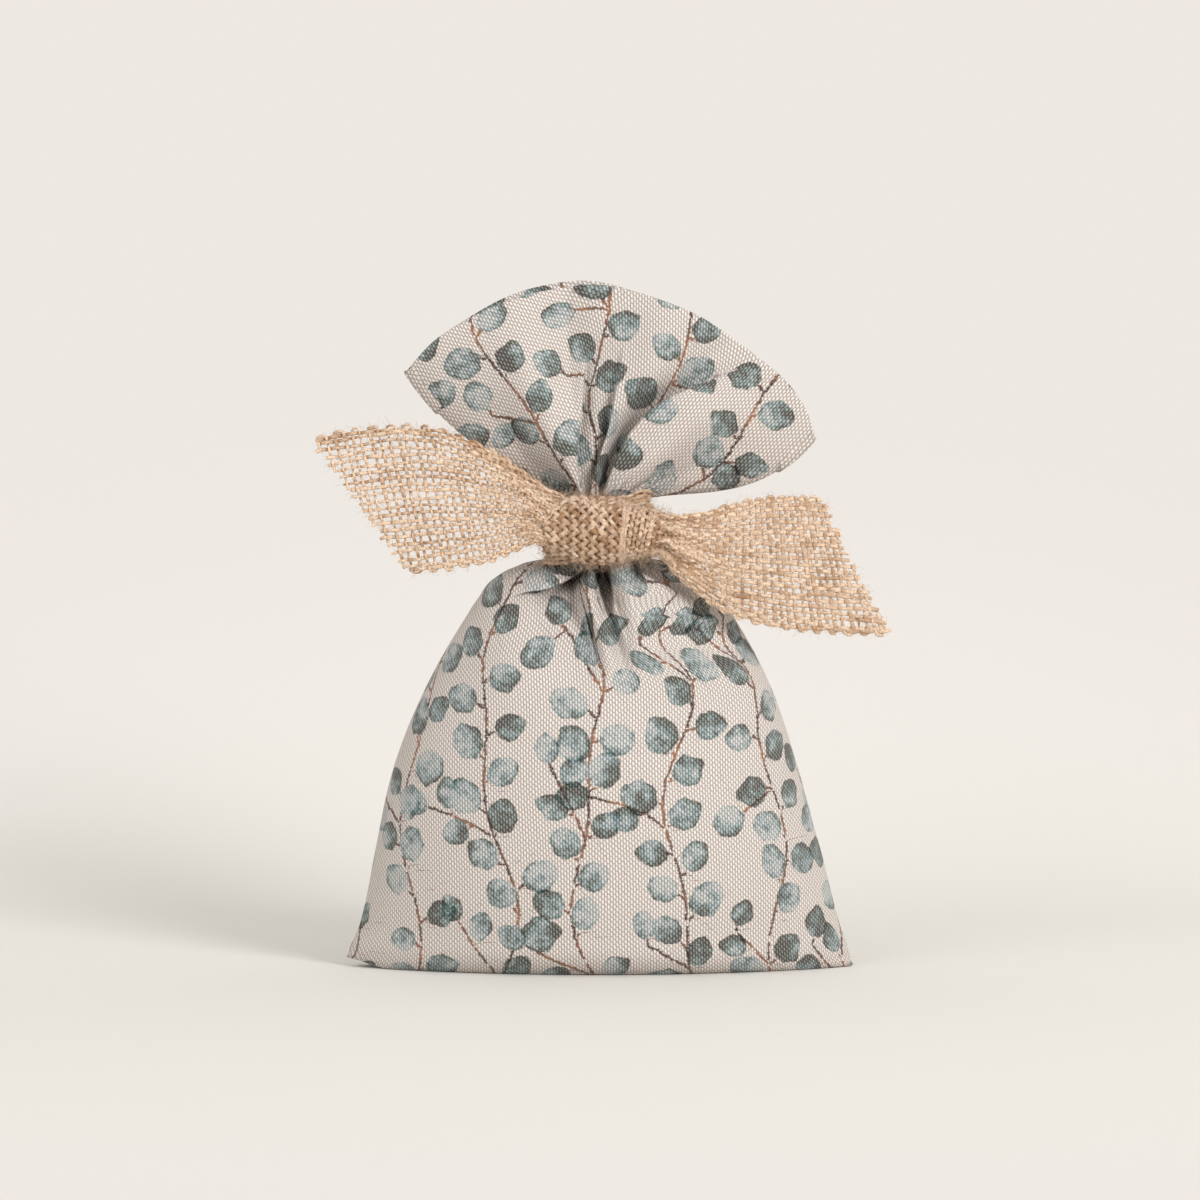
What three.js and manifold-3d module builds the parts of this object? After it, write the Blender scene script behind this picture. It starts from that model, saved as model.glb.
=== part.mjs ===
// A scented sachet: a sewn cloth bag with an inner pouch of scented granules, gathered at the neck and
// tied with a strip of open jute ribbon, whose two tails stick out at the front.
// Units are millimetres, +Z is up, and -Y faces the viewer. The origin is on the ground, under the neck.
import * as THREE from 'three';
import Module from 'manifold-3d';

const wasm = await Module();
wasm.setup();

// Driving sizes
const mm = 1;
const mergeDistance = 0.001 * mm; // points nearer than this are one point
const degree = Math.PI / 180;

// Bag
const baseWidth = 152 * mm; // corner to corner of the base
const bellyDepth = 76 * mm; // front to back at the fullest height
const neckStart = 123 * mm; // height where the gathers go into the tie
const neckDiameter = 23 * mm;
const clothThickness = 1 * mm;
const pieceGap = 0.3 * mm; // air between pieces that touch
const sideAllowance = 9 * mm; // cloth turned in at the side seams
const bottomAllowance = 3.5 * mm; // cloth turned in at the bottom seam
const seamTop = 100 * mm; // height where the sewn allowances end under the gathers

// Seam threads
const threadDiameter = 0.6 * mm;
const threadInset = 6 * mm; // from the side edge of the cloth
const threadStep = 8 * mm;

// Inner pouch and granules
const pouchHeight = 99 * mm;
const pouchThickness = 0.5 * mm;
const pouchClearance = 2 * mm; // to the cloth and its allowances
const sealWidth = 4 * mm; // heat-sealed rim along the top
const fillClearance = 0.5 * mm;

// Tie
const tieHeight = 19 * mm; // of the ribbon where it is squeezed round the neck
const ribbonWidth = 40 * mm;
const ribbonThickness = 1.2 * mm;
const bandThickness = 2.2 * mm; // crushed ribbon round the neck
const bandClearance = 0.4 * mm;
const knotLength = 41 * mm; // along X
const knotHeight = 23.5 * mm;
const knotDepth = 15 * mm;
const knotOffset = 4.5 * mm; // the knot sits to the right of the neck
const knotDrop = 2.5 * mm; // its right end is lower than its left end by this
const knotWaist = 0.8 * mm; // depth of the groove between its two turns
const tailRootHeight = 14 * mm;
const tailRootThickness = 5 * mm;
const tailRootGap = 1.9 * mm; // room for a tail's root to turn beside the knot
const tailLeftReach = 65.5 * mm; // from its root to the tip of its top corner
const tailRightReach = 59 * mm; // from its root to the tip of its bottom corner

// Frill above the tie
const frillLength = 62.5 * mm; // from the tie to the hem, at the middle
const frillRootGap = 3.2 * mm; // clear space for the frill to bend over
const frillRootRadius = 9 * mm;
const mouthDepth = 26 * mm; // front to back at the hem
const wingLeftAngle = 145.5 * degree; // of the left side seam above the horizontal, seen from the front
const wingRightAngle = 14 * degree;
const wingLeftSag = 3.5 * mm;
const wingRightSag = 7.5 * mm;

// Materials
const finish = (color, roughness) => new THREE.MeshStandardMaterial({ color, roughness, metalness: 0 });
const printedCotton = finish(0xd8ccc0, 0.9);
const juteRibbon = finish(0xc4a078, 0.95);
const sewingThread = finish(0xe6dccf, 0.8);
const pouchNonwoven = finish(0xf2f0ea, 0.8);
const granuleMix = finish(0xb89a6a, 0.95);

// Shared helpers
const lerp = THREE.MathUtils.lerp;
const clamp = THREE.MathUtils.clamp;
const point = (x, y, z) => new THREE.Vector3(x, y, z);
const steps = (count) => Array.from({ length: count + 1 }, (_, i) => i / count);

// A smooth value at share x of a table's first column, read from its given column.
function readTable(table, x, column) {
  const last = table.length - 1;
  const k = clamp(table.findIndex((row) => row[0] > x) - 1, -1, last - 1);
  const i = k < 0 ? (x <= table[0][0] ? 0 : last - 1) : k;
  const slope = (n) => {
    const low = Math.max(n - 1, 0);
    const high = Math.min(n + 1, last);
    return (table[high][column] - table[low][column]) / (table[high][0] - table[low][0]);
  };
  const span = table[i + 1][0] - table[i][0];
  const t = clamp((x - table[i][0]) / span, 0, 1);
  const rise = table[i + 1][column] - table[i][column];
  const bend = (slope(i) * span - rise) * (1 - t) + (rise - slope(i + 1) * span) * t;
  return table[i][column] + t * rise + t * (1 - t) * bend;
}

// Triangles from a list of three-point faces, with the points that coincide merged and flat faces dropped.
function geometryOf(faces) {
  const indexOf = new Map();
  const positions = [];
  const indices = [];
  const place = (p) => {
    const key = [p.x, p.y, p.z].map((v) => Math.round(v / mergeDistance)).join();
    if (!indexOf.has(key)) {
      indexOf.set(key, indexOf.size);
      positions.push(p.x, p.y, p.z);
    }
    return indexOf.get(key);
  };
  for (const face of faces) {
    const [a, b, c] = face.map(place);
    if (a !== b && b !== c && c !== a) indices.push(a, b, c);
  }
  const geometry = new THREE.BufferGeometry();
  geometry.setAttribute('position', new THREE.Float32BufferAttribute(positions, 3));
  geometry.setIndex(indices);
  return geometry;
}

// A closed solid between an outer and an inner grid of points, each a list of rows. When turned is set,
// the outer grid's rows run the other way round, so the faces are reversed.
function sheetSolid(outer, inner, turned = false) {
  const faces = [];
  const quad = (a, b, c, d) => faces.push([a, b, c], [a, c, d]);
  const rows = outer.length - 1;
  const columns = outer[0].length - 1;
  for (let j = 0; j < rows; j++) {
    for (let i = 0; i < columns; i++) {
      quad(outer[j][i], outer[j][i + 1], outer[j + 1][i + 1], outer[j + 1][i]);
      quad(inner[j][i], inner[j + 1][i], inner[j + 1][i + 1], inner[j][i + 1]);
    }
    quad(inner[j][0], outer[j][0], outer[j + 1][0], inner[j + 1][0]);
    quad(outer[j][columns], inner[j][columns], inner[j + 1][columns], outer[j + 1][columns]);
  }
  for (let i = 0; i < columns; i++) {
    quad(inner[0][i], inner[0][i + 1], outer[0][i + 1], outer[0][i]);
    quad(outer[rows][i], outer[rows][i + 1], inner[rows][i + 1], inner[rows][i]);
  }
  return geometryOf(turned ? faces.map(([a, b, c]) => [a, c, b]) : faces);
}

// A closed solid from rings of points, stacked along their axis and capped at both ends.
function ringSolid(rings, turned = false) {
  const faces = [];
  const count = rings[0].length;
  const middle = (ring) => ring.reduce((sum, p) => sum.add(p), point(0, 0, 0)).divideScalar(count);
  const first = middle(rings[0]);
  const end = middle(rings[rings.length - 1]);
  for (let i = 0; i < count; i++) {
    const n = (i + 1) % count;
    faces.push([first, rings[0][n], rings[0][i]]);
    faces.push([end, rings[rings.length - 1][i], rings[rings.length - 1][n]]);
    for (let j = 0; j < rings.length - 1; j++) {
      faces.push([rings[j][i], rings[j][n], rings[j + 1][n]]);
      faces.push([rings[j][i], rings[j + 1][n], rings[j + 1][i]]);
    }
  }
  return geometryOf(turned ? faces.map(([a, b, c]) => [a, c, b]) : faces);
}

function solidOf(geometry) {
  const plain = geometry.index ? geometry.toNonIndexed() : geometry;
  const array = plain.getAttribute('position').array;
  const faces = [];
  for (let i = 0; i < array.length; i += 9) {
    faces.push([0, 3, 6].map((k) => point(array[i + k], array[i + k + 1], array[i + k + 2])));
  }
  const merged = geometryOf(faces);
  return new wasm.Manifold(new wasm.Mesh({
    numProp: 3,
    vertProperties: merged.getAttribute('position').array,
    triVerts: new Uint32Array(merged.index.array),
  }));
}

function geometryFrom(solid) {
  const mesh = solid.getMesh();
  const geometry = new THREE.BufferGeometry();
  geometry.setAttribute('position', new THREE.BufferAttribute(mesh.vertProperties, 3));
  geometry.setIndex(new THREE.BufferAttribute(mesh.triVerts, 1));
  return geometry;
}

// Moves every grid point inwards along the surface's own normal.
function inset(grid, distance, side) {
  return grid.map((row, j) => row.map((p, i) => {
    const across = row[Math.min(i + 1, row.length - 1)].clone().sub(row[Math.max(i - 1, 0)]);
    const along = grid[Math.min(j + 1, grid.length - 1)][i].clone().sub(grid[Math.max(j - 1, 0)][i]);
    const normal = across.cross(along).normalize();
    return p.clone().addScaledVector(normal, side * distance);
  }));
}

const part = new THREE.Group();

function addPiece(name, geometry, material) {
  const mesh = new THREE.Mesh(geometry, material);
  mesh.name = name;
  part.add(mesh);
}

// Bag
const FRONT = -1;
const BACK = 1;
const LEFT = -1;
const RIGHT = 1;
const baseHalf = baseWidth / 2;
const bellyHalf = bellyDepth / 2;
const neckRadius = neckDiameter / 2;
const tieTop = neckStart + tieHeight;

// The bag's outline: height as a share of neckStart, then how far its half width and half depth are from
// the neck's to their largest, and the exponent that makes the section pointed (2) or an ellipse (1).
const bodyShares = [
  [0, 1, 0.6, 1.7],
  [0.024, 0.992, 0.76, 1.6],
  [0.1, 0.945, 0.89, 1.4],
  [0.3, 0.855, 1, 1.15],
  [0.505, 0.755, 0.945, 1.05],
  [0.65, 0.655, 0.82, 1],
  [0.75, 0.565, 0.69, 1],
  [0.84, 0.48, 0.54, 1],
  [0.9, 0.41, 0.42, 1],
  [0.945, 0.325, 0.3, 1],
  [0.975, 0.225, 0.19, 1],
  [0.992, 0.12, 0.09, 1],
  [1, 0, 0, 1],
];

const halfWidthAt = (z) => neckRadius + (baseHalf - neckRadius) * readTable(bodyShares, z / neckStart, 1);
const halfDepthAt = (z) => neckRadius + (bellyHalf - neckRadius) * readTable(bodyShares, z / neckStart, 2);
const exponentAt = (z) => readTable(bodyShares, z / neckStart, 3);

// The gathers' main pleats: the place across the panel and the half width of each as shares of the half
// turn, its depth as a share of the neck's diameter, and how far down the bag it fades, as a share.
const frontPleatShares = [
  [0.17, 0.1, -0.1, 0.82],
  [0.4, 0.045, -0.3, 0.76],
  [0.475, 0.045, 0.14, 0.74],
  [0.545, 0.035, -0.3, 0.82],
  [0.66, 0.07, 0.12, 0.78],
  [0.78, 0.05, -0.22, 0.84],
];
const backPleatShares = [
  [0.2, 0.06, -0.2, 0.8],
  [0.33, 0.06, 0.12, 0.78],
  [0.46, 0.04, -0.28, 0.74],
  [0.58, 0.06, 0.14, 0.78],
  [0.72, 0.05, -0.26, 0.8],
];

function pleatAt(side, turn, z) {
  const shares = side === FRONT ? frontPleatShares : backPleatShares;
  return shares.reduce((sum, [place, width, depth, fadeFrom]) => {
    const bell = Math.exp(-(((turn - place) / width) ** 2));
    const rise = THREE.MathUtils.smoothstep(z / neckStart, fadeFrom, 0.97);
    const squeeze = 1 - THREE.MathUtils.smoothstep(z / neckStart, 0.97, 1);
    return sum + depth * neckDiameter * bell * rise * squeeze;
  }, 0);
}

// A point on a panel's outer side: turn goes from 0 at the left seam to 1 at the right one.
function bagPoint(side, turn, z) {
  const angle = turn * Math.PI;
  const bulge = Math.sin(angle) ** exponentAt(z);
  const p = point(-halfWidthAt(z) * Math.cos(angle), side * (pieceGap / 2 + halfDepthAt(z) * bulge), z);
  const outward = point(p.x / halfWidthAt(z) ** 2, p.y / halfDepthAt(z) ** 2, 0).normalize();
  return p.addScaledVector(outward, pleatAt(side, turn, z) * Math.sin(angle));
}

const panelColumns = 26;
const bodyRowShares = [0, 0.015, 0.035, 0.055, 0.12, 0.25, 0.4, 0.55, 0.66, 0.75, 0.81, 0.86, 0.9, 0.93, 0.955,
  0.975, 0.99, 1];
const neckRowShares = [0.5, 1];
const allowanceRowShares = [0.05, 0.76]; // the rows between these carry the side allowances
const fillRowShares = [0.945, 1]; // the gathers close up to a solid bundle between these

// How far in from the seam the cloth is deep enough for its own thickness and that of its allowance.
function foldInset(z) {
  const room = pieceGap / 2 + 2.2 * clothThickness;
  const turns = steps(4 * panelColumns).slice(0, panelColumns);
  const turn = turns.find((share) => Math.abs(bagPoint(FRONT, share, z).y) > room) ?? 0;
  return halfWidthAt(z) * (1 - Math.cos(turn * Math.PI));
}

// A panel is one sheet: from the turned-in edge of its left allowance, round the left seam, across the
// bag, and round the right seam to the edge of the right allowance; its base turns in at the bottom.
function panelGeometry(side) {
  const turns = steps(panelColumns);
  const innerFace = pieceGap / 2 + clothThickness;
  const outer = [];
  const inner = [];
  const addRow = (outerRow, innerRow, allowance) => {
    const ends = [outerRow[0], outerRow[turns.length - 1]].map((p, i) => {
      return point(p.x + (i ? -allowance : allowance), p.y, p.z);
    });
    const linedEnds = allowance
      ? ends.map((p) => point(p.x, side * innerFace, p.z))
      : [innerRow[0].clone(), innerRow[turns.length - 1].clone()];
    outer.push([ends[0], ...outerRow, ends[1]]);
    inner.push([linedEnds[0], ...innerRow, linedEnds[1]]);
  };

  // The bottom allowance and the flat base
  const corner = foldInset(0);
  const mitre = corner + 2 * clothThickness;
  const ground = turns.map((turn) => bagPoint(side, turn, 0));
  const within = (x, limit) => clamp(x, -limit, limit);
  const level = (share, z, limit, least) => ground.map((p) => {
    const y = Math.max(lerp(pieceGap / 2, Math.abs(p.y), share), least);
    return point(within(p.x, limit), side * y, z);
  });
  addRow(
    level(0, bottomAllowance, baseHalf - mitre, 0),
    level(0, bottomAllowance, baseHalf - mitre, innerFace),
    0,
  );
  addRow(level(0, 0, baseHalf, 0), level(0, clothThickness, baseHalf - corner, innerFace), 0);
  addRow(level(0.5, 0, baseHalf, 0), level(0.5, clothThickness, baseHalf - corner, innerFace), 0);

  // The wall and the gathered neck
  const heights = [
    ...bodyRowShares.map((share) => share * neckStart),
    ...neckRowShares.map((share) => lerp(neckStart, tieTop, share)),
  ];
  const wall = heights.map((z) => turns.map((turn) => bagPoint(side, turn, Math.min(z, neckStart)).setZ(z)));
  const lining = inset(wall, clothThickness, side);
  heights.forEach((z, j) => {
    const share = z / neckStart;
    const filled = THREE.MathUtils.smoothstep(share, ...fillRowShares);
    const limit = halfWidthAt(Math.min(z, neckStart)) - foldInset(Math.min(z, neckStart));
    const last = j === heights.length - 1;
    const row = lining[j].map((p, i) => {
      const inside = Math.abs(p.x) < limit && Math.abs(p.y) > innerFace && side * p.y > 0;
      const held = inside ? p : point(Math.sign(wall[j][i].x) * limit, side * innerFace, p.z);
      const x = lerp(held.x, wall[j][i].x, filled);
      const y = side * lerp(Math.abs(held.y), pieceGap / 2, filled);
      return point(x, y, last ? z : lerp(Math.max(held.z, clothThickness), z, filled));
    });
    const sewn = share > allowanceRowShares[0] && share < allowanceRowShares[1];
    addRow(wall[j], row, sewn ? sideAllowance : 0);
  });
  return sheetSolid(outer, inner, side === BACK);
}

addPiece('front_panel', panelGeometry(FRONT), printedCotton);
addPiece('back_panel', panelGeometry(BACK), printedCotton);

// Seam threads
// The lockstitch down one side, along the bottom and up the other side: the needle thread lies on the
// front allowance and the bobbin thread on the back one.
function threadGeometry(side) {
  const radius = threadDiameter / 2;
  const y = side * (pieceGap / 2 + clothThickness + pieceGap + radius);
  const bottom = clothThickness + pieceGap + radius;
  const sideRun = (z) => halfWidthAt(z) - threadInset;
  const count = Math.round((seamTop - threadInset) / threadStep);
  const heights = steps(count).map((share) => lerp(seamTop - threadInset, threadInset, share));
  const left = heights.map((z) => point(-sideRun(z), y, z));
  const right = heights.slice().reverse().map((z) => point(sideRun(z), y, z));
  const cornerX = sideRun(0) - threadInset;
  const route = [...left, point(-cornerX, y, bottom), point(cornerX, y, bottom), ...right];
  const sides = 5;
  const rings = route.map((p, i) => {
    const ahead = route[Math.min(i + 1, route.length - 1)].clone().sub(route[Math.max(i - 1, 0)]).normalize();
    const across = point(0, 1, 0);
    const up = across.clone().cross(ahead);
    return Array.from({ length: sides }, (_, k) => {
      const angle = (k / sides) * 2 * Math.PI;
      return p.clone()
        .addScaledVector(across, radius * Math.cos(angle))
        .addScaledVector(up, radius * Math.sin(angle));
    });
  });
  return ringSolid(rings, true);
}

addPiece('needle_thread', threadGeometry(FRONT), sewingThread);
addPiece('bobbin_thread', threadGeometry(BACK), sewingThread);

// Inner pouch and granules
// The pouch follows the bag's inside, clear of the cloth, and closes to a flat sealed rim along its top.
const pouchBottom = clothThickness / 2 + bottomAllowance + pouchClearance;
const pouchTop = pouchHeight;
const pouchRiseShares = [0, 0.03, 0.1, 0.25, 0.45, 0.62, 0.76, 0.88, 0.96, 1];
const pouchColumns = 14;
const pouchSlackShare = 0.1; // air between the pouch and the cloth, as a share of the bag's half depth

function pouchPoint(side, turn, rise, shrink) {
  const low = pouchBottom + shrink;
  const high = pouchTop - sealWidth - shrink;
  const z = lerp(low, high, rise);
  const angle = turn * Math.PI;
  const edge = clothThickness / 2 + sideAllowance + pouchClearance;
  const halfWidth = halfWidthAt(z) - edge - shrink;
  const round = Math.sqrt(1 - 0.35 * (1 - Math.min(rise / 0.1, 1)) ** 2);
  const close = Math.sqrt(Math.max(0, 1 - Math.max(0, (rise - 0.45) / 0.55) ** 3));
  const wall = clothThickness + pouchClearance + pouchSlackShare * bellyHalf;
  const halfDepth = (halfDepthAt(z) - wall) * round * close;
  const bulge = halfDepth * Math.sin(angle) ** exponentAt(z) - shrink;
  return point(-halfWidth * Math.cos(angle), side * Math.max(bulge, shrink ? 0 : pieceGap / 2), z);
}

function pouchGeometry(side) {
  const columns = steps(pouchColumns);
  const bottom = columns.map((turn) => pouchPoint(side, turn, 0, 0).setY(side * pieceGap / 2));
  const walls = pouchRiseShares.map((rise) => columns.map((turn) => pouchPoint(side, turn, rise, 0)));
  const rim = walls[walls.length - 1].map((p) => point(p.x, side * (pieceGap / 2 + pouchThickness), pouchTop));
  const rimStart = walls[walls.length - 1].map((p) => point(p.x, side * (pieceGap / 2 + pouchThickness), p.z));
  walls[walls.length - 1] = rimStart;
  const outer = [bottom, ...walls, rim];
  const inner = inset(outer, pouchThickness, side).map((row, j) => row.map((p, i) => {
    const z = j >= outer.length - 1 ? outer[j][i].z : j === 0 ? outer[0][i].z + pouchThickness : p.z;
    return point(p.x, side * Math.max(side * p.y, pieceGap / 2), z);
  }));
  return sheetSolid(outer, inner, side === BACK);
}

addPiece('pouch_front', pouchGeometry(FRONT), pouchNonwoven);
addPiece('pouch_back', pouchGeometry(BACK), pouchNonwoven);

function granuleGeometry() {
  const shrink = pouchThickness + fillClearance;
  const turns = steps(pouchColumns);
  const rises = pouchRiseShares.slice(0, -2);
  const rings = rises.map((rise) => [
    ...turns.slice(0, -1).map((turn) => pouchPoint(FRONT, turn, rise, shrink)),
    ...turns.slice(0, -1).map((turn) => pouchPoint(BACK, 1 - turn, rise, shrink)),
  ]);
  return ringSolid(rings);
}

addPiece('scented_granules', granuleGeometry(), granuleMix);

// Frill
// place goes from -1 at the left side seam to 1 at the right one; rise from 0 at the tie to 1 at the hem.
const frillPleatShares = {
  [FRONT]: [
    [-0.5, 0.16, 0.09, 0.25],
    [-0.12, 0.07, 0.26, 0.95],
    [0.06, 0.07, -0.16, 0.8],
    [0.2, 0.07, 0.24, 0.75],
    [0.55, 0.14, -0.1, 0.6],
  ],
  [BACK]: [
    [-0.45, 0.12, -0.16, 0.6],
    [-0.2, 0.08, 0.2, 0.8],
    [0, 0.08, -0.2, 0.9],
    [0.22, 0.08, 0.22, 0.75],
    [0.5, 0.12, -0.16, 0.6],
  ],
};
const frillBase = tieTop + frillRootGap;
const wingDropShare = 0.03; // the side seams are shorter than the middle by this

function frillPoint(side, place, rise) {
  const tilt = (wingLeftAngle - wingRightAngle) / 2;
  const middle = 90 * degree;
  const lean = middle - (wingLeftAngle + wingRightAngle) / 2;
  const angle = middle - tilt * place - lean * place * place;
  const length = (frillLength - frillRootGap) * (1 - wingDropShare * place * place) * rise;
  const sag = (place < 0 ? wingLeftSag : wingRightSag) * Math.abs(place) ** 3 * 4 * rise * (1 - rise);
  const open = 1 - (1 - rise) ** 2;
  const rim = Math.sqrt(1 - place * place);
  const halfDepth = lerp(frillRootRadius, mouthDepth / 2, open) * rim;
  const pleat = frillPleatShares[side].reduce((sum, [centre, width, depth, fade]) => {
    const bell = Math.exp(-(((place - centre) / width) ** 2));
    return sum + depth * mouthDepth * bell * Math.max(0, 1 - rise / fade) ** 0.7 * Math.min(1, rise * 9);
  }, 0);
  const depth = Math.max(pieceGap / 2 + clothThickness * rim, halfDepth - pleat * rim);
  return point(
    frillRootRadius * place + length * Math.cos(angle),
    side * Math.max(pieceGap / 2, rim > 0 ? depth : 0),
    frillBase + length * Math.sin(angle) - sag,
  );
}

const frillColumns = 30;
const frillRowShares = [0, 0.06, 0.14, 0.24, 0.36, 0.5, 0.65, 0.82, 1];

function frillGeometry(side) {
  const places = steps(frillColumns).map((share) => Math.sin((share - 0.5) * Math.PI));
  const outer = frillRowShares.map((rise) => places.map((place) => frillPoint(side, place, rise)));
  const inner = inset(outer, clothThickness, side).map((row, j) => row.map((p, i) => {
    const filled = 1 - THREE.MathUtils.smoothstep(frillRowShares[j], 0, 0.2);
    const depth = Math.min(Math.max(side * p.y, pieceGap / 2), side * outer[j][i].y);
    const level = j === 0 || j === outer.length - 1;
    return point(
      lerp(level ? outer[j][i].x : p.x, outer[j][i].x, filled),
      side * lerp(depth, pieceGap / 2, filled),
      level ? outer[j][i].z : lerp(p.z, outer[j][i].z, filled),
    );
  }));
  return sheetSolid(outer, inner, side === BACK);
}

addPiece('front_frill', frillGeometry(FRONT), printedCotton);
addPiece('back_frill', frillGeometry(BACK), printedCotton);

// Ribbon
const bandInner = neckRadius + bandClearance;
const bandOuter = bandInner + bandThickness;

function bandGeometry() {
  const fold = bandThickness * 0.25;
  const low = neckStart + pieceGap;
  const high = tieTop - pieceGap;
  const middle = (low + high) / 2;
  const profile = [
    new THREE.Vector2(bandInner, low),
    new THREE.Vector2(bandOuter - fold, low),
    new THREE.Vector2(bandOuter, lerp(low, middle, 0.4)),
    new THREE.Vector2(bandOuter - fold, middle),
    new THREE.Vector2(bandOuter, lerp(high, middle, 0.4)),
    new THREE.Vector2(bandOuter - fold, high),
    new THREE.Vector2(bandInner, high),
    new THREE.Vector2(bandInner, low),
  ];
  const ring = new THREE.LatheGeometry(profile, 36);
  ring.rotateX(Math.PI / 2);
  return ring;
}

// The knot: two turns of ribbon side by side over the front of the band.
const knotFront = -(bandOuter + knotDepth - bandThickness);
const knotY = knotFront + knotDepth / 2;
const knotZ = neckStart + tieHeight * 0.33;

function knotGeometry() {
  const places = [-1, -0.94, -0.8, -0.55, -0.25, 0, 0.1, 0.2, 0.45, 0.7, 0.88, 0.97, 1];
  const sides = 20;
  const rings = places.map((place) => {
    const roundEnd = (1 - Math.abs(place * 0.97) ** 3.2) ** 0.45;
    const waist = knotWaist * Math.exp(-(((place - 0.1) / 0.09) ** 2));
    const centre = point(knotOffset + place * knotLength / 2, knotY, knotZ - place * knotDrop / 2);
    return Array.from({ length: sides }, (_, k) => {
      const angle = (k / sides) * 2 * Math.PI;
      const halfDepth = (knotDepth / 2) * roundEnd - waist;
      const halfHeight = (knotHeight / 2) * roundEnd - waist;
      return point(
        centre.x,
        centre.y + halfDepth * Math.cos(angle),
        centre.z + halfHeight * Math.sin(angle),
      );
    });
  });
  const bandRoom = new THREE.CylinderGeometry(bandOuter + pieceGap, bandOuter + pieceGap, 3 * tieHeight, 36);
  bandRoom.rotateX(Math.PI / 2);
  bandRoom.translate(0, 0, tieTop);
  return geometryFrom(solidOf(ringSolid(rings)).subtract(solidOf(bandRoom)).subtract(solidOf(gatherRoom())));
}

// The gathers just under the tie with the gap round them, which the knot's back is shaped to.
function gatherRoom() {
  const turns = steps(panelColumns).slice(0, -1);
  const rings = bodyRowShares.filter((share) => share > 0.78).map((share) => {
    const grow = (p) => p.addScaledVector(point(p.x, p.y, 0).normalize(), 2 * pieceGap);
    return [
      ...turns.map((turn) => grow(bagPoint(FRONT, turn, share * neckStart))),
      ...turns.map((turn) => grow(bagPoint(BACK, 1 - turn, share * neckStart))),
    ];
  });
  return ringSolid(rings);
}

addPiece('ribbon_neck_band', bandGeometry(), juteRibbon);
addPiece('ribbon_knot', knotGeometry(), juteRibbon);

// Each tail starts as a bunched root beside the knot and opens out to the ribbon's full width. A row gives
// its place along the tail, the reach and rise of its top edge, those of its bottom edge, and its depth
// behind the root: the reaches are shares of the tail's reach and the rest are shares of the ribbon's width.
const tailLeftShares = [
  [0.12, 0.08, 0.27, 0.07, -0.19, -0.01],
  [0.3, 0.24, 0.5, 0.18, -0.2, -0.03],
  [0.5, 0.44, 0.7, 0.32, -0.23, -0.02],
  [0.7, 0.64, 0.77, 0.45, -0.27, 0.02],
  [0.85, 0.82, 0.75, 0.52, -0.3, 0.05],
  [1, 1, 0.69, 0.585, -0.32, 0.08],
];
const tailRightShares = [
  [0.12, 0.1, 0.17, 0.1, -0.24, -0.02],
  [0.3, 0.22, 0.2, 0.27, -0.39, -0.04],
  [0.5, 0.36, 0.28, 0.47, -0.5, -0.04],
  [0.7, 0.5, 0.32, 0.66, -0.56, 0],
  [0.85, 0.6, 0.34, 0.84, -0.6, 0.05],
  [1, 0.68, 0.34, 1, -0.63, 0.09],
];
const cupShare = 0.05; // how far a tail bows forward, as a share of the ribbon's width
const tailRowCount = 12;
const tailColumnCount = 8;

function tailGeometry(shares, way, reach) {
  const rootRise = tailRootHeight / 2 / ribbonWidth;
  const rows = [[0, 0, rootRise, 0, -rootRise, 0], ...shares];
  const rootX = knotOffset + way * (knotLength / 2 + tailRootGap);
  const rootZ = knotZ - way * knotDrop / 2;
  const front = [];
  const back = [];
  steps(tailRowCount).forEach((along) => {
    const [topX, topZ, bottomX, bottomZ, depth] = [1, 2, 3, 4, 5].map((c) => readTable(rows, along, c));
    const open = THREE.MathUtils.smoothstep(along, 0, 0.45);
    const middle = steps(tailColumnCount).map((across) => point(
      rootX + way * reach * lerp(topX, bottomX, across),
      knotY + (depth - cupShare * open * Math.sin(across * Math.PI)) * ribbonWidth,
      rootZ + lerp(topZ, bottomZ, across) * ribbonWidth,
    ));
    const half = steps(tailColumnCount).map((across) => {
      const bunch = tailRootThickness * (0.35 + 0.65 * Math.sin(across * Math.PI));
      return lerp(bunch, ribbonThickness, open) / 2;
    });
    front.push(middle.map((p, i) => point(p.x, p.y - half[i], p.z)));
    back.push(middle.map((p, i) => point(p.x, p.y + half[i], p.z)));
  });
  return sheetSolid(front, back, way < 0);
}

addPiece('ribbon_tail_left', tailGeometry(tailLeftShares, LEFT, tailLeftReach), juteRibbon);
addPiece('ribbon_tail_right', tailGeometry(tailRightShares, RIGHT, tailRightReach), juteRibbon);

export default part;
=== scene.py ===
# %% [markdown]
# # A scented sachet: printed cotton, gathered and tied with jute ribbon
#
# The object is a small cloth bag that stands on its filled bottom. Its neck is gathered and tied once
# with open-weave jute ribbon, and the cloth above the tie fans out as a frill. Almost all of it is cloth,
# so this lesson is about cloth: how a few folds in the right places make a sheet look soft, how a print
# stays flat on a folded sheet, and how a coarse ribbon is built from its own threads.

# %% The shared frame
import math

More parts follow.
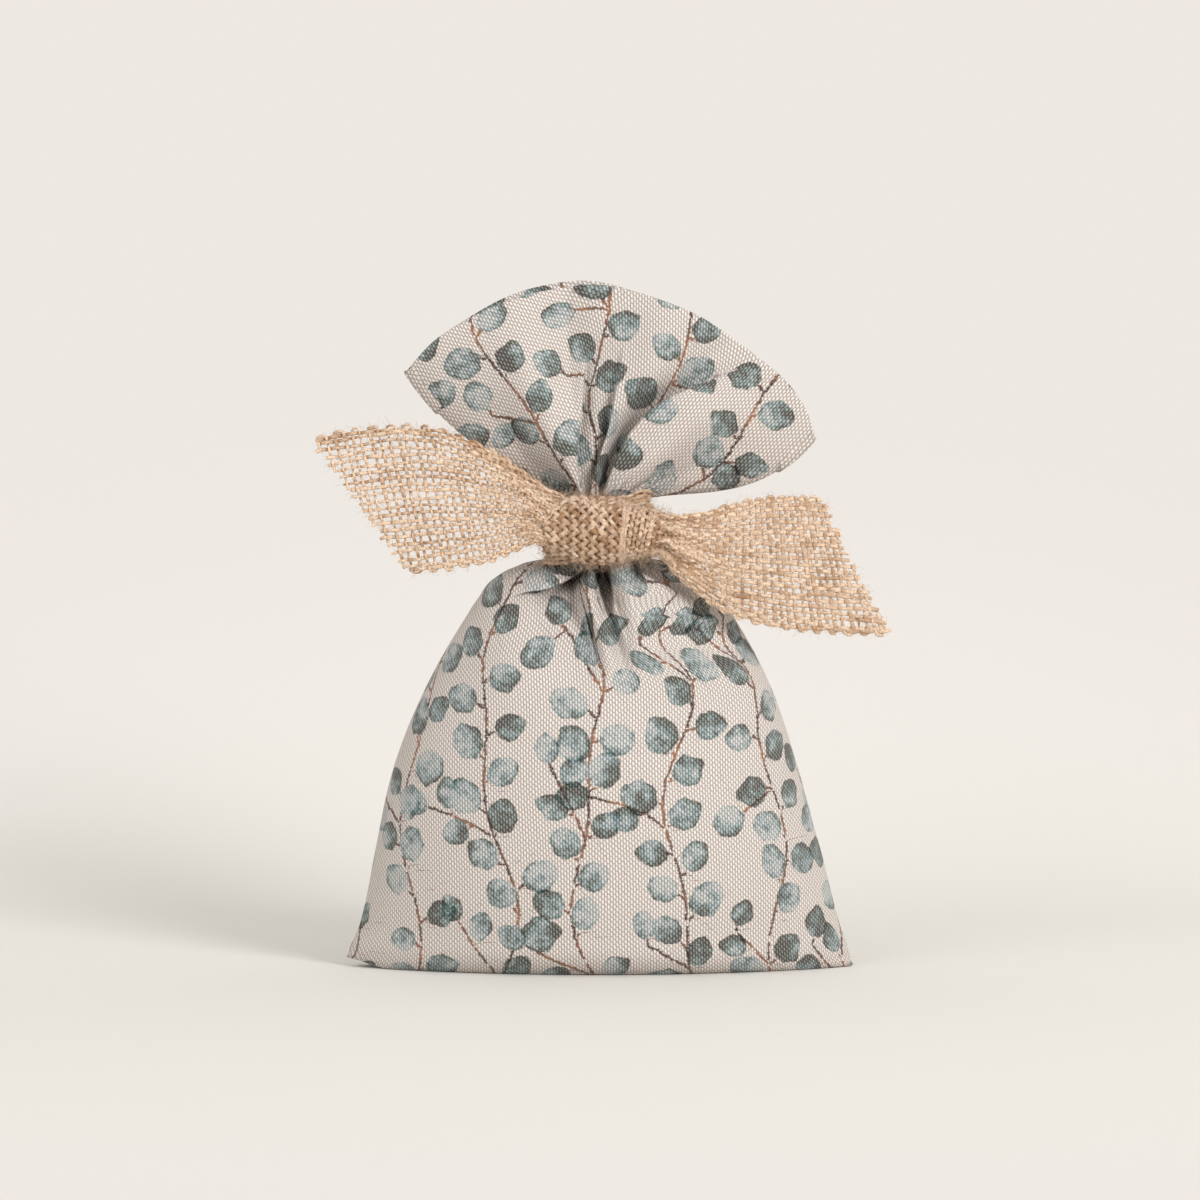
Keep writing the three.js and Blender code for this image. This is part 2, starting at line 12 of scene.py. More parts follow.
import bpy
import numpy as np
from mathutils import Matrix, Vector


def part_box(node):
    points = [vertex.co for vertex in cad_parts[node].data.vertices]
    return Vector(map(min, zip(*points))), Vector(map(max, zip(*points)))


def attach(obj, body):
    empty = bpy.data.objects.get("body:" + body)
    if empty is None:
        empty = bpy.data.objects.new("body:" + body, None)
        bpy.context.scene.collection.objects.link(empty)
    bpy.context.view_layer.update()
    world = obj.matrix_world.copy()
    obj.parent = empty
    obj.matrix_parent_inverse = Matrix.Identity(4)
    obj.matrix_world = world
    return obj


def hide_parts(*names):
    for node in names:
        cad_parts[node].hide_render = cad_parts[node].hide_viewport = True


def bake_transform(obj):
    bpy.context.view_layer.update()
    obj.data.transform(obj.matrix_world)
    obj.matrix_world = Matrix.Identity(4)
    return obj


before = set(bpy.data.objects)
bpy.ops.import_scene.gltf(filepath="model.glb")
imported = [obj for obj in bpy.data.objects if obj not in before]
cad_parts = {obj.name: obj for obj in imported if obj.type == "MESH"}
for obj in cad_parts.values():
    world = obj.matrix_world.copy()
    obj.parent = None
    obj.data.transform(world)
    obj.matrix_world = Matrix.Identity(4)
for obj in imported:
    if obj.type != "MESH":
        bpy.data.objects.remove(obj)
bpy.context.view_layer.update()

# %% [markdown]
# All sizes here are written in millimetres, as a maker would say them, and one factor turns them into
# Blender's metres at the moment a mesh is made. Colours are written as sRGB hex values, as a designer
# picks them, and one function turns them into the linear values that a shader needs.

# %% Units, colours and nodes
MM = 0.001


def linear(hex_value, alpha=1.0):
    """An sRGB hex colour such as "#d6c9be" as linear RGBA."""
    channels = [int(hex_value[i:i + 2], 16) / 255 for i in (1, 3, 5)]
    return [c / 12.92 if c <= 0.04045 else ((c + 0.055) / 1.055) ** 2.4 for c in channels] + [alpha]


def add_node(tree, kind, settings=None, **sockets):
    """Adds one node. A socket takes a constant, an output socket or a node, meaning its first output."""
    node = tree.nodes.new(kind)
    for name, value in (settings or {}).items():
        setattr(node, name, value)
    for name, value in sockets.items():
        socket = node.inputs[int(name[1:])] if name[0] == "_" else node.inputs[name.replace("_", " ")]
        if isinstance(value, bpy.types.Node):
            value = value.outputs[0]
        if isinstance(value, bpy.types.NodeSocket):
            tree.links.new(value, socket)
        else:
            socket.default_value = value
    return node


def smoothstep(low, high, value):
    t = np.clip((value - low) / (high - low), 0, 1)
    return t * t * (3 - 2 * t)


def smooth_table(table, at):
    """Smooth values of a table's columns at places given by its first column."""
    table = np.array(table, float)
    x, values = table[:, 0], table[:, 1:]
    slope = np.gradient(values, x, axis=0)
    i = np.clip(np.searchsorted(x, at, side="right") - 1, 0, len(x) - 2)
    span = (x[i + 1] - x[i])[..., None]
    t = np.clip((at - x[i])[..., None] / span, 0, 1)
    rise = values[i + 1] - values[i]
    bend = (slope[i] * span - rise) * (1 - t) + (rise - slope[i + 1] * span) * t
    return values[i] + t * rise + t * (1 - t) * bend


# %% [markdown]
# The camera comes first. The photograph was taken from slightly above the table with a long lens, so the
# two sides of the bag show no strong perspective. The frame spans 360 mm at the object, and the object's
# foot is a little above the frame's bottom fifth.

# %% Camera
FRAME_WIDTH = 360  # what the picture's width covers at the object
FOOT_SHARE = 967 / 1200  # how far down the picture the middle of the foot is
CAMERA_AWAY = 1500
CAMERA_RISE = math.radians(1.5)

camera_data = bpy.data.cameras.new("camera")
camera = bpy.data.objects.new("camera", camera_data)
bpy.context.collection.objects.link(camera)
camera_data.lens = camera_data.sensor_width * CAMERA_AWAY / FRAME_WIDTH
aim = Vector((0, 0, FRAME_WIDTH * (FOOT_SHARE - 0.5) * math.cos(CAMERA_RISE))) * MM
away = Vector((0, -math.cos(CAMERA_RISE), math.sin(CAMERA_RISE))) * CAMERA_AWAY * MM
camera.location = aim + away
camera.rotation_euler = (-away).to_track_quat("-Z", "Y").to_euler()
bpy.context.scene.camera = camera
print("lens, mm:", round(camera_data.lens, 1))

# %% [markdown]
# ## The bag's cloth
#
# The real bag is two pieces of cloth, sewn round three sides. Each is one sheet from the bottom seam, up
# over the fill, through the tie and out into the frill. A cloth simulation would find folds of its own, but
# not the ones in the photograph, so each sheet is a lofted grid here: one direction runs across the bag
# from seam to seam, the other up the cloth. The outline below is the bag's half width and half depth, as
# shares between the neck's and the largest, and how pointed its section is.

# %% Sizes of the bag
BASE_HALF = (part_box("front_panel")[1][0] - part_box("front_panel")[0][0]) / 2 / MM
BELLY_HALF = -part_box("front_panel")[0][1] / MM
NECK_RADIUS = 11.3
NECK_START = 123
TIE_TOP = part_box("front_panel")[1][2] / MM
LEAN, LEAN_HEIGHT, LEAN_SPREAD = 1.3, 58, 26  # the filled part leans a little to the left
CLOTH_THICKNESS = 0.7
COLUMNS = 190
print("bag, mm:", round(BASE_HALF * 2, 1), "wide,", round(BELLY_HALF * 2, 1), "deep")

body_shares = [
    (0, 1, 0.6, 1.7),
    (0.024, 0.992, 0.76, 1.6),
    (0.1, 0.945, 0.89, 1.4),
    (0.3, 0.855, 1, 1.15),
    (0.505, 0.755, 0.945, 1.05),
    (0.65, 0.655, 0.82, 1),
    (0.75, 0.565, 0.69, 1),
    (0.84, 0.465, 0.54, 1),
    (0.9, 0.392, 0.42, 1),
    (0.945, 0.325, 0.3, 1),
    (0.975, 0.225, 0.19, 1),
    (0.992, 0.12, 0.09, 1),
    (1, 0, 0, 1),
]


def body_surface(side, turn, z):
    """Points of a panel's outer side: turn runs from 0 at the left seam to 1 at the right one."""
    width, depth, power = np.moveaxis(smooth_table(body_shares, np.clip(z / NECK_START, 0, 1)), -1, 0)
    half_width = NECK_RADIUS + (BASE_HALF - NECK_RADIUS) * width
    half_depth = NECK_RADIUS + (BELLY_HALF - NECK_RADIUS) * depth
    angle = turn * math.pi
    x = -half_width * np.cos(angle) - LEAN * np.exp(-(((z - LEAN_HEIGHT) / LEAN_SPREAD) ** 2))
    y = side * half_depth * np.sin(angle) ** power
    return np.stack([x, y, z], axis=-1)


# %% [markdown]
# A fold is a line drawn on the cloth, seen from the front, with a height on each side of it. A rolled pleat
# is a ridge, a pinch is a valley, the dark opening between two pleats is a hollow with steep sides, and
# where one layer lies over another is a lap: its edge is sharp and reaches out over the lower layer, which
# puts a crisp shadow there. Each has its own width and fades along its line, because folds start at the tie
# and die out in the full part of the bag.

# %% Folds
def along_path(path, x, z, samples=40):
    """Signed distance of each point from a smooth path, positive to its right, the share along it and
    the direction to its right."""
    path = np.array(path, float)
    share = np.linspace(0, 1, samples)
    knots = np.linspace(0, 1, len(path))
    line = smooth_table(np.column_stack([knots, path]), share)
    best = np.full(x.shape, np.inf)
    signed = np.zeros(x.shape)
    place = np.zeros(x.shape)
    right = np.zeros(x.shape + (2,))
    for i in range(samples - 1):
        start, step = line[i], line[i + 1] - line[i]
        length = np.hypot(*step)
        t = ((x - start[0]) * step[0] + (z - start[1]) * step[1]) / length ** 2
        held = np.clip(t, 0, 1)
        off = np.hypot(x - start[0] - held * step[0], z - start[1] - held * step[1])
        cross = ((x - start[0]) * -step[1] + (z - start[1]) * step[0]) / length
        nearer = off < best
        best = np.where(nearer, off, best)
        signed = np.where(nearer, -np.sign(cross) * off, signed)
        place = np.where(nearer, share[i] + held * (share[i + 1] - share[i]), place)
        right = np.where(nearer[..., None], np.array([step[1], -step[0]]) / length, right)
    return signed, place, right


LIP_WIDTH = 0.3


def folded(folds, x, z):
    """How far folds lift the cloth, and how far their lips reach over it in x and z, all in mm.

    Widths and heights are spread evenly along a fold's path. A lap's last number is its reach, and its
    raised side is the path's right one, or its left one where the heights are negative."""
    lift = np.zeros(x.shape)
    reach = np.zeros(x.shape + (2,))
    for kind, path, widths, heights, *over in folds:
        off, place, right = along_path(path, x, z)
        width = np.interp(place, np.linspace(0, 1, len(widths)), widths)
        height = np.interp(place, np.linspace(0, 1, len(heights)), heights)
        if kind == "ridge":
            lift += height * np.exp(-((off / width) ** 2))
        elif kind == "valley":
            lift -= height * np.exp(-np.abs(off / width) ** 1.4)
        elif kind == "hollow":
            lift -= height * np.exp(-((off / width) ** 8))
        else:
            hand = 1 if sum(heights) > 0 else -1
            inside = np.clip(hand * off, 0, None)
            outside = np.clip(-hand * off, 0, None)
            lip = 0.5 + 0.5 * np.tanh(hand * off / LIP_WIDTH)
            raised = 0.6 * lip * np.exp(-((inside / width) ** 1.5))
            lift += np.abs(height) * (raised - 0.8 * (1 - lip) * np.exp(-outside / (0.6 * width)))
            share = over[0] * np.abs(height) / np.max(np.abs(heights))
            reach -= (hand * share * lip * np.exp(-inside / (2.2 * over[0])))[..., None] * right
    return lift, reach


FRONT, BACK = -1, 1

front_body_folds = [
    # The lip at the left, its shadow side and the slack cloth below
    ("lap", [(-4.5, 122.4), (-8.2, 120), (-12.3, 117.3), (-17.3, 114.8), (-23, 113), (-31, 109)],
     (2.6, 2.8, 3.2, 3.8, 4.8, 6), (4, 8, 9, 7, 3, 0), 3.0),
    ("valley", [(-5.5, 118.6), (-9.5, 116), (-14, 113), (-21, 110.6)], (2.1, 2.6, 3, 4),
     (15, 14, 8, 0)),
    ("valley", [(-15, 114), (-12, 106), (-8, 95), (-6, 80)], (6, 7, 8, 9), (3, 4.6, 2.6, 0)),
    ("ridge", [(-31, 106), (-28, 94), (-25, 78)], (9, 12, 15), (1.4, 3.4, 0)),
    # The narrow rolled pleat in the middle
    ("lap", [(-7.4, 122), (-7, 119.3), (-6.1, 111.9), (-4.1, 104.5), (-2, 96.2), (0.4, 84)],
     (2.6, 2.6, 2.8, 3, 3.4, 5), (3.4, 4.4, 5, 4.4, 2.6, 0), 1.0),
    ("valley", [(-8.8, 119), (-8, 111), (-5.8, 104), (-3.4, 95), (-1.2, 84)], (2.3, 2.4, 2.4, 2.2, 2.8),
     (10, 9, 5, 2.4, 0)),
    ("ridge", [(-4.4, 121), (-3.4, 111), (-1.2, 104), (1.6, 96), (4, 84)], (1.9, 2, 2.3, 2.9, 4),
     (5, 6, 5, 3, 0)),
    # The hollow beside it, and the broad pleat that laps over its right side
    ("valley", [(0.1, 122.4), (0.6, 116), (2, 110), (4.4, 102), (6.4, 94), (9, 85)],
     (2.1, 2.1, 1.5, 1.4, 1.8, 3), (1, 1, 3, 4.6, 2.6, 0)),
    ("hollow", [(0.6, 123.4), (1.1, 117), (1.8, 112.4), (2.8, 107)], (2.4, 2.3, 1.8, 0.9), (20, 20, 16, 4)),
    ("lap", [(-1.7, 122), (-1.4, 118.5), (-1, 113.6), (1.4, 106), (3.8, 99.5)], (1.6, 1.8, 2, 2.4),
     (-2.4, -3, -2.4, 0), 0.5),
    ("lap", [(1.2, 122.4), (1.6, 120), (2.6, 115), (4.2, 110), (6.2, 104), (8.4, 97)],
     (4, 4.4, 5, 6, 7, 8), (4, 5, 5.4, 4.2, 2, 0), 0.8),
    ("valley", [(9.2, 123), (10.8, 118.4), (12.2, 114.4)], (1.5, 1.6, 1.8), (12, 11, 0)),
    ("ridge", [(6.4, 121.6), (8.8, 111), (13, 98), (17, 82)], (3, 4.2, 6.4, 10), (3.6, 5, 3.6, 0)),
    # The slack cloth under the right tail
    ("lap", [(9.4, 121), (16, 116.4), (29, 109), (46, 96.6)], (3, 4, 6, 8), (3, 5, 4, 0), 1.0),
    ("valley", [(15, 121), (23, 114), (36, 106)], (2.4, 3.6, 5), (5, 5, 0)),
    ("valley", [(28, 103), (34, 90), (38, 74)], (4, 7, 10), (1.4, 2.4, 0)),
    ("ridge", [(44, 92), (47, 76), (50, 56)], (7, 9, 12), (0.8, 2, 0)),
]
front_frill_folds = [
    # Three laps, from left to right: the left wing, the strip in the middle and the right wing
    ("lap", [(-5.5, 138), (-7, 148), (-7.2, 156), (-5.9, 166), (-4.8, 177), (-2.5, 191)],
     (3, 4, 6, 7, 8, 9), (-3, -5, -7, -6.4, -3.4, 0), 1.2),
    ("lap", [(-3, 138), (-1.5, 147.6), (2.6, 159.7), (3.9, 166.4), (5, 174), (6.5, 186)],
     (2.4, 3, 4, 5, 5, 6), (3, 5.6, 6.6, 5.4, 3, 0), 1.1),
    ("lap", [(0.6, 138), (3.9, 147.6), (7.3, 155.7), (10.7, 161), (16.7, 167.1), (22.1, 170.5), (28.8, 173.8),
             (37, 177.2), (47, 181)], (2.6, 4, 6, 7, 8), (4, 8.4, 9.4, 6.4, 0), 1.7),
    ("valley", [(-0.6, 139), (2.2, 148), (5.6, 157), (9.4, 163), (15.6, 169.4), (25, 175), (36, 180)],
     (1.6, 2.4, 3, 4, 5), (4, 6, 6, 3.4, 0)),
    ("ridge", [(7, 141), (16, 152), (30, 163.6), (45, 171)], (3, 4.6, 6.4, 9), (2.4, 4.6, 4.4, 0)),
    ("ridge", [(8, 160), (15, 176), (20, 192)], (4, 7, 9), (0, 3.4, 3)),
    ("valley", [(22, 176), (34, 184), (42, 188)], (4, 6, 7), (0, 3.4, 3)),
    ("ridge", [(-8, 141), (-13, 154), (-22, 176), (-27, 192)], (2.6, 5, 9, 11), (3, 5, 5, 2)),
    ("valley", [(-7, 160), (-9, 176), (-10, 190), (-10, 202)], (3, 5, 7, 8), (0, 3, 4.6, 4)),
    ("valley", [(-13, 143), (-26, 157), (-37, 170)], (3, 5, 8), (2.6, 3, 0)),
    ("valley", [(12, 141), (30, 150), (50, 160)], (2.4, 4, 6), (2.4, 2.6, 0)),
]
back_body_folds = [
    ("valley", [(-17, 119), (-24, 108), (-28, 94)], (2.6, 3.4, 5), (4, 2.6, 0)),
    ("ridge", [(-10, 120), (-13, 108), (-15, 92)], (3, 4, 7), (3, 2.6, 0)),
    ("valley", [(-5, 120), (-5, 108), (-6, 94)], (2.2, 2.4, 4), (6, 3.4, 0)),
    ("ridge", [(0, 120), (0.6, 106), (2, 88)], (2.6, 3.4, 7), (3.4, 3, 0)),
    ("valley", [(5, 120), (7, 107), (9, 92)], (2, 2.6, 4), (6, 3.6, 0)),
    ("ridge", [(11, 120), (16, 106), (20, 90)], (3, 4.6, 8), (2.8, 2.2, 0)),
    ("valley", [(17, 119), (26, 107), (33, 92)], (2.6, 3.4, 5), (4, 2.4, 0)),
]
back_frill_folds = [
    ("valley", [(-6, 143), (-10, 157), (-16, 178)], (2, 2.8, 5), (6, 4.6, 0)),
    ("ridge", [(-1.6, 143), (-3, 158), (-4, 180)], (2.4, 3.6, 7), (3, 3, 0)),
    ("valley", [(2, 143), (3.6, 158), (4, 182)], (2, 2.8, 5), (6, 4.6, 0)),
    ("ridge", [(6, 144), (11, 158), (17, 178)], (3, 4.6, 8), (2.4, 2.6, 0)),
    ("valley", [(9, 144), (19, 157), (31, 171)], (2, 3, 5), (5, 3.4, 0)),
]

# %% [markdown]
# Between the main folds the cloth is gathered: at the tie, 165 mm of cloth is packed into half of a neck
# 23 mm across, so it runs in and out in tight pleats all the way round. They open within a few millimetres
# above and below the tie. A wave that grows towards the tie makes them.

# %% Gathers and unevenness
GATHERS, GATHER_DEPTH = 9, 3.6
GATHERS_BELOW = 11  # where they start, under the neck
GATHERS_END = (-6, 12)  # where they fade out, from the top of the tie
SWELL = 0.42
gather_phases = {FRONT: 0.35, BACK: 0.1}


def gather_depth(side, turn, height):
    """How far the gathers go in towards the middle of the neck, in mm."""
    below = smoothstep(NECK_START - GATHERS_BELOW, NECK_START, height) ** 1.6
    above = 1 - smoothstep(TIE_TOP + GATHERS_END[0], TIE_TOP + GATHERS_END[1], height)
    wobble = 0.35 * np.sin(turn * 17 + side) + 0.3 * np.sin(turn * 41)
    wave = 0.5 - 0.5 * np.cos(2 * math.pi * (GATHERS * turn + gather_phases[side] + wobble))
    return GATHER_DEPTH * wave ** 0.8 * np.minimum(below, above) * np.sin(turn * math.pi) ** 0.4


def unevenness(side, x, z):
    """Slow swells of cloth over loose fill, in mm."""
    shift = 40 if side == FRONT else 170
    swell = np.sin((x + shift) / 19 + z / 31) + np.sin((x - 1.3 * z + shift) / 27)
    return SWELL * (swell + np.sin((x * 0.6 + z + shift) / 13))


# %% [markdown]
# The frill is a fan: each line up the cloth leaves the tie at its own place and ends on the frill's edge.
# The edge is drawn as the photograph shows it, as points across the cloth from the left seam to the right
# one. The two side seams hang lower than straight, and behind them the back's cloth bulges down a little.
# The last centimetre of the cloth is turned in and down behind itself, which is the hem.

# %% Frill surface
FRILL_LENGTH = 62
FRILL_BASE = 139
FRILL_ROOT = 9
MOUTH_HALF = 13
SAG_LEFT, SAG_RIGHT = 5.2, 6.6
BACK_RISE, RISE_PLACE, RISE_SPREAD = 0.04, -0.36, 0.4  # the back stands higher, left of the middle
frill_edge = [
    (-1, -57.9, 177.6), (-0.83, -49, 187), (-0.67, -39, 193.2), (-0.51, -28.5, 198.2), (-0.32, -15, 201.9),
    (-0.13, -1, 203.4), (0.02, 10.5, 201.2), (0.13, 18, 198.8), (0.31, 30, 193.6), (0.46, 39.4, 187.4),
    (0.6, 47.4, 181.4), (0.74, 55.4, 174.6), (0.83, 59.4, 169.2), (0.92, 62.2, 163.8), (1, 64, 157.8),
]


def frill_surface(side, place, rise):
    """Points of the frill: place from -1 to 1 across, rise from 0 at the tie to 1 at the hem."""
    edge = smooth_table(frill_edge, place)
    # The sag is greatest at two thirds of the way up, where rise ** 2 * (1 - rise) is 4 / 27
    sag = np.where(place < 0, SAG_LEFT, SAG_RIGHT) * np.abs(place) ** 3 * (27 / 4) * rise ** 2 * (1 - rise)
    longer = 0 * place
    if side == BACK:
        longer = BACK_RISE * np.exp(-(((place - RISE_PLACE) / RISE_SPREAD) ** 2))
        curl = np.where(place < 0, 2.2, 0.8) * np.exp(-(((np.abs(place) - 0.93) / 0.05) ** 2))
        sag = sag + curl * np.sin(math.pi * np.clip(rise / 0.8, 0, 1))
    rim = np.sqrt(np.clip(1 - place ** 2, 0, 1))
    depth = (FRILL_ROOT + (MOUTH_HALF - FRILL_ROOT) * (1 - (1 - rise) ** 2)) * rim
    return np.stack([
        FRILL_ROOT * place + (edge[..., 0] - FRILL_ROOT * place) * rise,
        side * depth,
        FRILL_BASE + (edge[..., 1] - FRILL_BASE) * (1 + longer) * rise - sag,
    ], axis=-1)


# %% [markdown]
# The grid of one panel is stacked from four stretches: the flat base from the bottom seam to the front
# edge, the wall, the gathered neck under the tie, and the frill. Folds push the wall and the frill out
# towards the viewer, and the gathers pull everything in towards the neck's middle.

# %% One panel's grid
FLOOR_GAP = 0.25
HEM_DEPTH = 11
HEM_GAP = 1.6  # from the cloth's outer side to the turned-in part's printed side
HEM_GAP_AT_SEAM = 0.45
SEAM_PINCH, SEAM_SPREAD = 1.1, 1.2
SEAM_TO_SEAM = 150  # across a panel, to turn its shares into mm near the seams
CORNER_LIFT, CORNER_HEIGHT, CORNER_SPREAD = 2.6, 13, 8  # the left corner is off the table


def panel_grid(side, folds_share):
    """The points of a panel, row by row from the bottom seam to the turned-in edge, and where rows change.

    With a folds_share of 0 the cloth has neither folds nor gathers."""
    # Columns lie closer together in the middle, where the sharpest folds are
    place = np.linspace(-1, 1, COLUMNS + 1)[None, :]
    turn = 0.5 + 0.5 * (0.62 * place + 0.38 * place ** 3)
    wall_z = NECK_START * np.concatenate([
        np.linspace(0, 0.5, 34), np.linspace(0.5, 0.88, 53)[1:],
        0.88 + 0.12 * (1 - (1 - np.linspace(0, 1, 46)[1:]) ** 1.8)])[:, None]
    wall = body_surface(side, turn, wall_z + 0 * turn)
    folds = front_body_folds if side == FRONT else back_body_folds
    lift, reach = folded(folds, wall[..., 0], wall[..., 2])
    fade = np.sin(turn * math.pi) ** 0.6 * (1 - smoothstep(0.99, 1, wall_z / NECK_START)) * folds_share
    low = smoothstep(2, 16, wall[..., 2])
    lift += low * unevenness(side, wall[..., 0], wall[..., 2])
    wall += fade[..., None] * np.stack([reach[..., 0], side * lift, reach[..., 1]], axis=-1)

    neck_z = np.linspace(NECK_START, FRILL_BASE, 18)[1:-1, None]
    neck = body_surface(side, turn, NECK_START + 0 * neck_z + 0 * turn)
    closing = 1 - (1 - FRILL_ROOT / NECK_RADIUS) * smoothstep(NECK_START, FRILL_BASE, neck_z)
    neck[..., :2] *= closing[..., None]
    neck[..., 2] = neck_z

    rise = np.linspace(0, 1, 68)[:, None] ** 1.05
    frill = frill_surface(side, -np.cos(turn * math.pi) + 0 * rise, rise + 0 * turn)
    folds = front_frill_folds if side == FRONT else back_frill_folds
    lift, reach = folded(folds, frill[..., 0], frill[..., 2])
    rim = np.sin(turn * math.pi) ** 0.7
    swell = unevenness(side, frill[..., 0] * 1.6, frill[..., 2] * 1.6)
    wave = 0.9 * np.sin(turn * 15 + side) * rise ** 2 + 0.5 * swell
    start = smoothstep(0, 0.06, rise)
    depth = side * (lift * start + wave * rise)
    move = np.stack([reach[..., 0] * start, depth, reach[..., 1] * start], axis=-1)
    frill += folds_share * rim[..., None] * move
    frill[..., 1] = side * np.maximum(side * frill[..., 1], 0.6 * rim)

    # The hem turns over the top edge in a half circle, then runs down behind the cloth
    roll = np.linspace(0, math.pi, 6)[1:, None]
    down = np.linspace(0, 1, 10)[1:, None]
    inset = np.concatenate([(1 - np.cos(roll)) / 2, 1 + 0 * down])
    drop = np.concatenate([-0.5 * HEM_GAP * np.sin(roll), HEM_DEPTH * down])
    source = np.clip((len(frill) - 1) * (1 - drop / FRILL_LENGTH), 0, len(frill) - 1)
    under = source.astype(int)[:, 0]
    part = (source - under[:, None])[..., None]
    hem = frill[under] * (1 - part) + frill[np.minimum(under + 1, len(frill) - 1)] * part
    upward = frill[-1] - frill[-4]
    upward /= np.linalg.norm(upward, axis=-1, keepdims=True)
    hem += np.clip(-drop, 0, None)[..., None] * upward
    from_seam = np.minimum(turn, 1 - turn)
    room = HEM_GAP_AT_SEAM + (HEM_GAP - HEM_GAP_AT_SEAM) * smoothstep(0.02, 0.2, from_seam)
    hem[..., 1] -= side * inset * room
    frill = np.concatenate([frill, hem])

    base_share = np.linspace(0, 1, 12)[:-1, None]
    base = wall[:1] * np.stack([1 + 0 * base_share, base_share, 1 + 0 * base_share], axis=-1)

    grid = np.concatenate([base, wall, neck, frill])
    inward = gather_depth(side, turn, grid[..., 2]) / np.maximum(np.hypot(grid[..., 0], grid[..., 1]), 4)
    grid[..., :2] *= 1 - folds_share * np.clip(inward, 0, 0.8)[..., None]
    seam = SEAM_PINCH * np.exp(-from_seam * SEAM_TO_SEAM / SEAM_SPREAD)
    grid[..., 0] -= np.sign(grid[..., 0]) * seam * smoothstep(0, 3, grid[..., 2])
    near_floor = 1 - smoothstep(0, CORNER_HEIGHT, grid[..., 2])
    from_corner = (grid[..., 0] + BASE_HALF) / CORNER_SPREAD
    grid[..., 2] += CORNER_LIFT * np.exp(-(from_corner ** 2)) * near_floor
    grid[..., 2] = np.maximum(grid[..., 2], FLOOR_GAP)
    rows = np.cumsum([len(base), len(wall), len(neck), len(frill)])
    return grid, rows


grids = {side: panel_grid(side, 1) for side in (FRONT, BACK)}
plain_grids = {side: panel_grid(side, 0)[0] for side in (FRONT, BACK)}
print("panel grid:", grids[FRONT][0].shape)

# %% [markdown]
# ## The print's place on the cloth
#
# A print is flat on the cloth before the cloth is folded, so it needs flat coordinates. On the bag they are
# lengths measured along the grid without its folds, across from the middle of the front and up from the
# base. On the frill each wing is nearly flat and only turned about the tie, so there the flat coordinates
# are the place seen from the front, turned back by the wing's own angle. What a fold takes up along a row
# is added to both, so a leaf runs down into a pleat. The coordinates jump at the deep creases, where the
# real cloth disappears into a pleat too, and blend into each other above a crease's end.

# %% Flat coordinates
WING_TURNS = {"left": math.radians(27), "middle": 0.0, "right": math.radians(-40)}
TIE_POINT = (0, 138.6)
MEASURED_FROM = 35  # the height at which a length up the cloth is set to that height
NECK_ROWS = 8  # rows of the neck that still have the bag's print
WINGS_MEET = (166, 182)  # heights between which the wings blend into each other
CREASE_ENDS = {"left": (-2.4, 193), "right": (47, 181)}
left_crease = [(-5.5, 137), (-7, 148), (-7.2, 156), (-5.9, 166), (-4.8, 177), (-2.5, 191), (-1, 212)]
right_crease = [(0.6, 137), (3.9, 147.6), (7.3, 155.7), (10.7, 161), (16.7, 167.1), (22.1, 170.5),
                (28.8, 173.8), (37, 177.2), (70, 196)]
body_creases = {
    FRONT: ([(-7.6, 125), (-7, 119.3), (-6.1, 111.9), (-4.1, 104.5), (-2, 96.2), (0.4, 84), (0.4, 60)],
            [(0.6, 125), (0.6, 116), (2, 110), (4.4, 102), (6.4, 94), (9, 85), (9, 60)]),
    BACK: ([(-5, 125), (-5, 108), (-6, 94), (-6, 60)], [(5, 125), (7, 107), (9, 92), (9, 60)]),
}


def run_lengths(steps):
    """Lengths summed along each row, from its first column."""
    return np.concatenate([np.zeros((len(steps), 1)), np.cumsum(steps, axis=1)], axis=1)


def taken_up(grid, plain, start):
    """The cloth that folds take up along each row, counted from a start column of its own."""
    taken = run_lengths(np.linalg.norm(np.diff(grid, axis=1), axis=-1)
                        - np.linalg.norm(np.diff(plain, axis=1), axis=-1))
    zero = np.take_along_axis(taken, start[:, None], axis=1)[:, 0]
    window = np.hanning(11) / np.hanning(11).sum()
    return taken - np.convolve(np.pad(zero, 5, mode="edge"), window, mode="valid")[:, None]


def first_right_of(path, plain, margin):
    """In each row, the first column that lies more than a margin to the right of a path."""
    return np.argmax(along_path(path, plain[..., 0], plain[..., 2])[0] > margin, axis=1)


def body_flat(side, grid, plain):
    """Lengths across and up the cloth at each grid point, in mm."""
    across = run_lengths(np.linalg.norm(np.diff(plain, axis=1), axis=-1))
    middle = across.shape[1] // 2
    across -= across[:, middle][:, None]
    columns = np.arange(across.shape[1])[None, :]
    creases = body_creases[side]
    left, right = (first_right_of(path, plain, 0) for path in creases)
    regions = (
        (first_right_of(creases[0], plain, -4.5), columns < left[:, None]),
        (first_right_of(creases[1], plain, 4), columns >= right[:, None]),
        ((left + right) // 2, (columns >= left[:, None]) & (columns < right[:, None])),
    )
    # The folds deepen so fast under the tie that the cloth turns there rather than shifts
    counted = 1 - 0.9 * smoothstep(94, 113, plain[..., 2])
    across += counted * sum(np.where(here, taken_up(grid, plain, start), 0) for start, here in regions)
    # A column leans towards the middle as it rises, so its sideways part isn't counted, and the gathers
    # take up part of what it runs inward under the tie
    length = np.linalg.norm(np.diff(plain[..., 1:], axis=0) * (0.6, 1), axis=-1)
    up = np.concatenate([np.zeros((1, plain.shape[1])), np.cumsum(length, axis=0)])
    row = np.argmin(np.abs(plain[:, middle, 2] - MEASURED_FROM))
    up -= up[row][None, :] - MEASURED_FROM
    return np.stack([across, up], axis=-1)


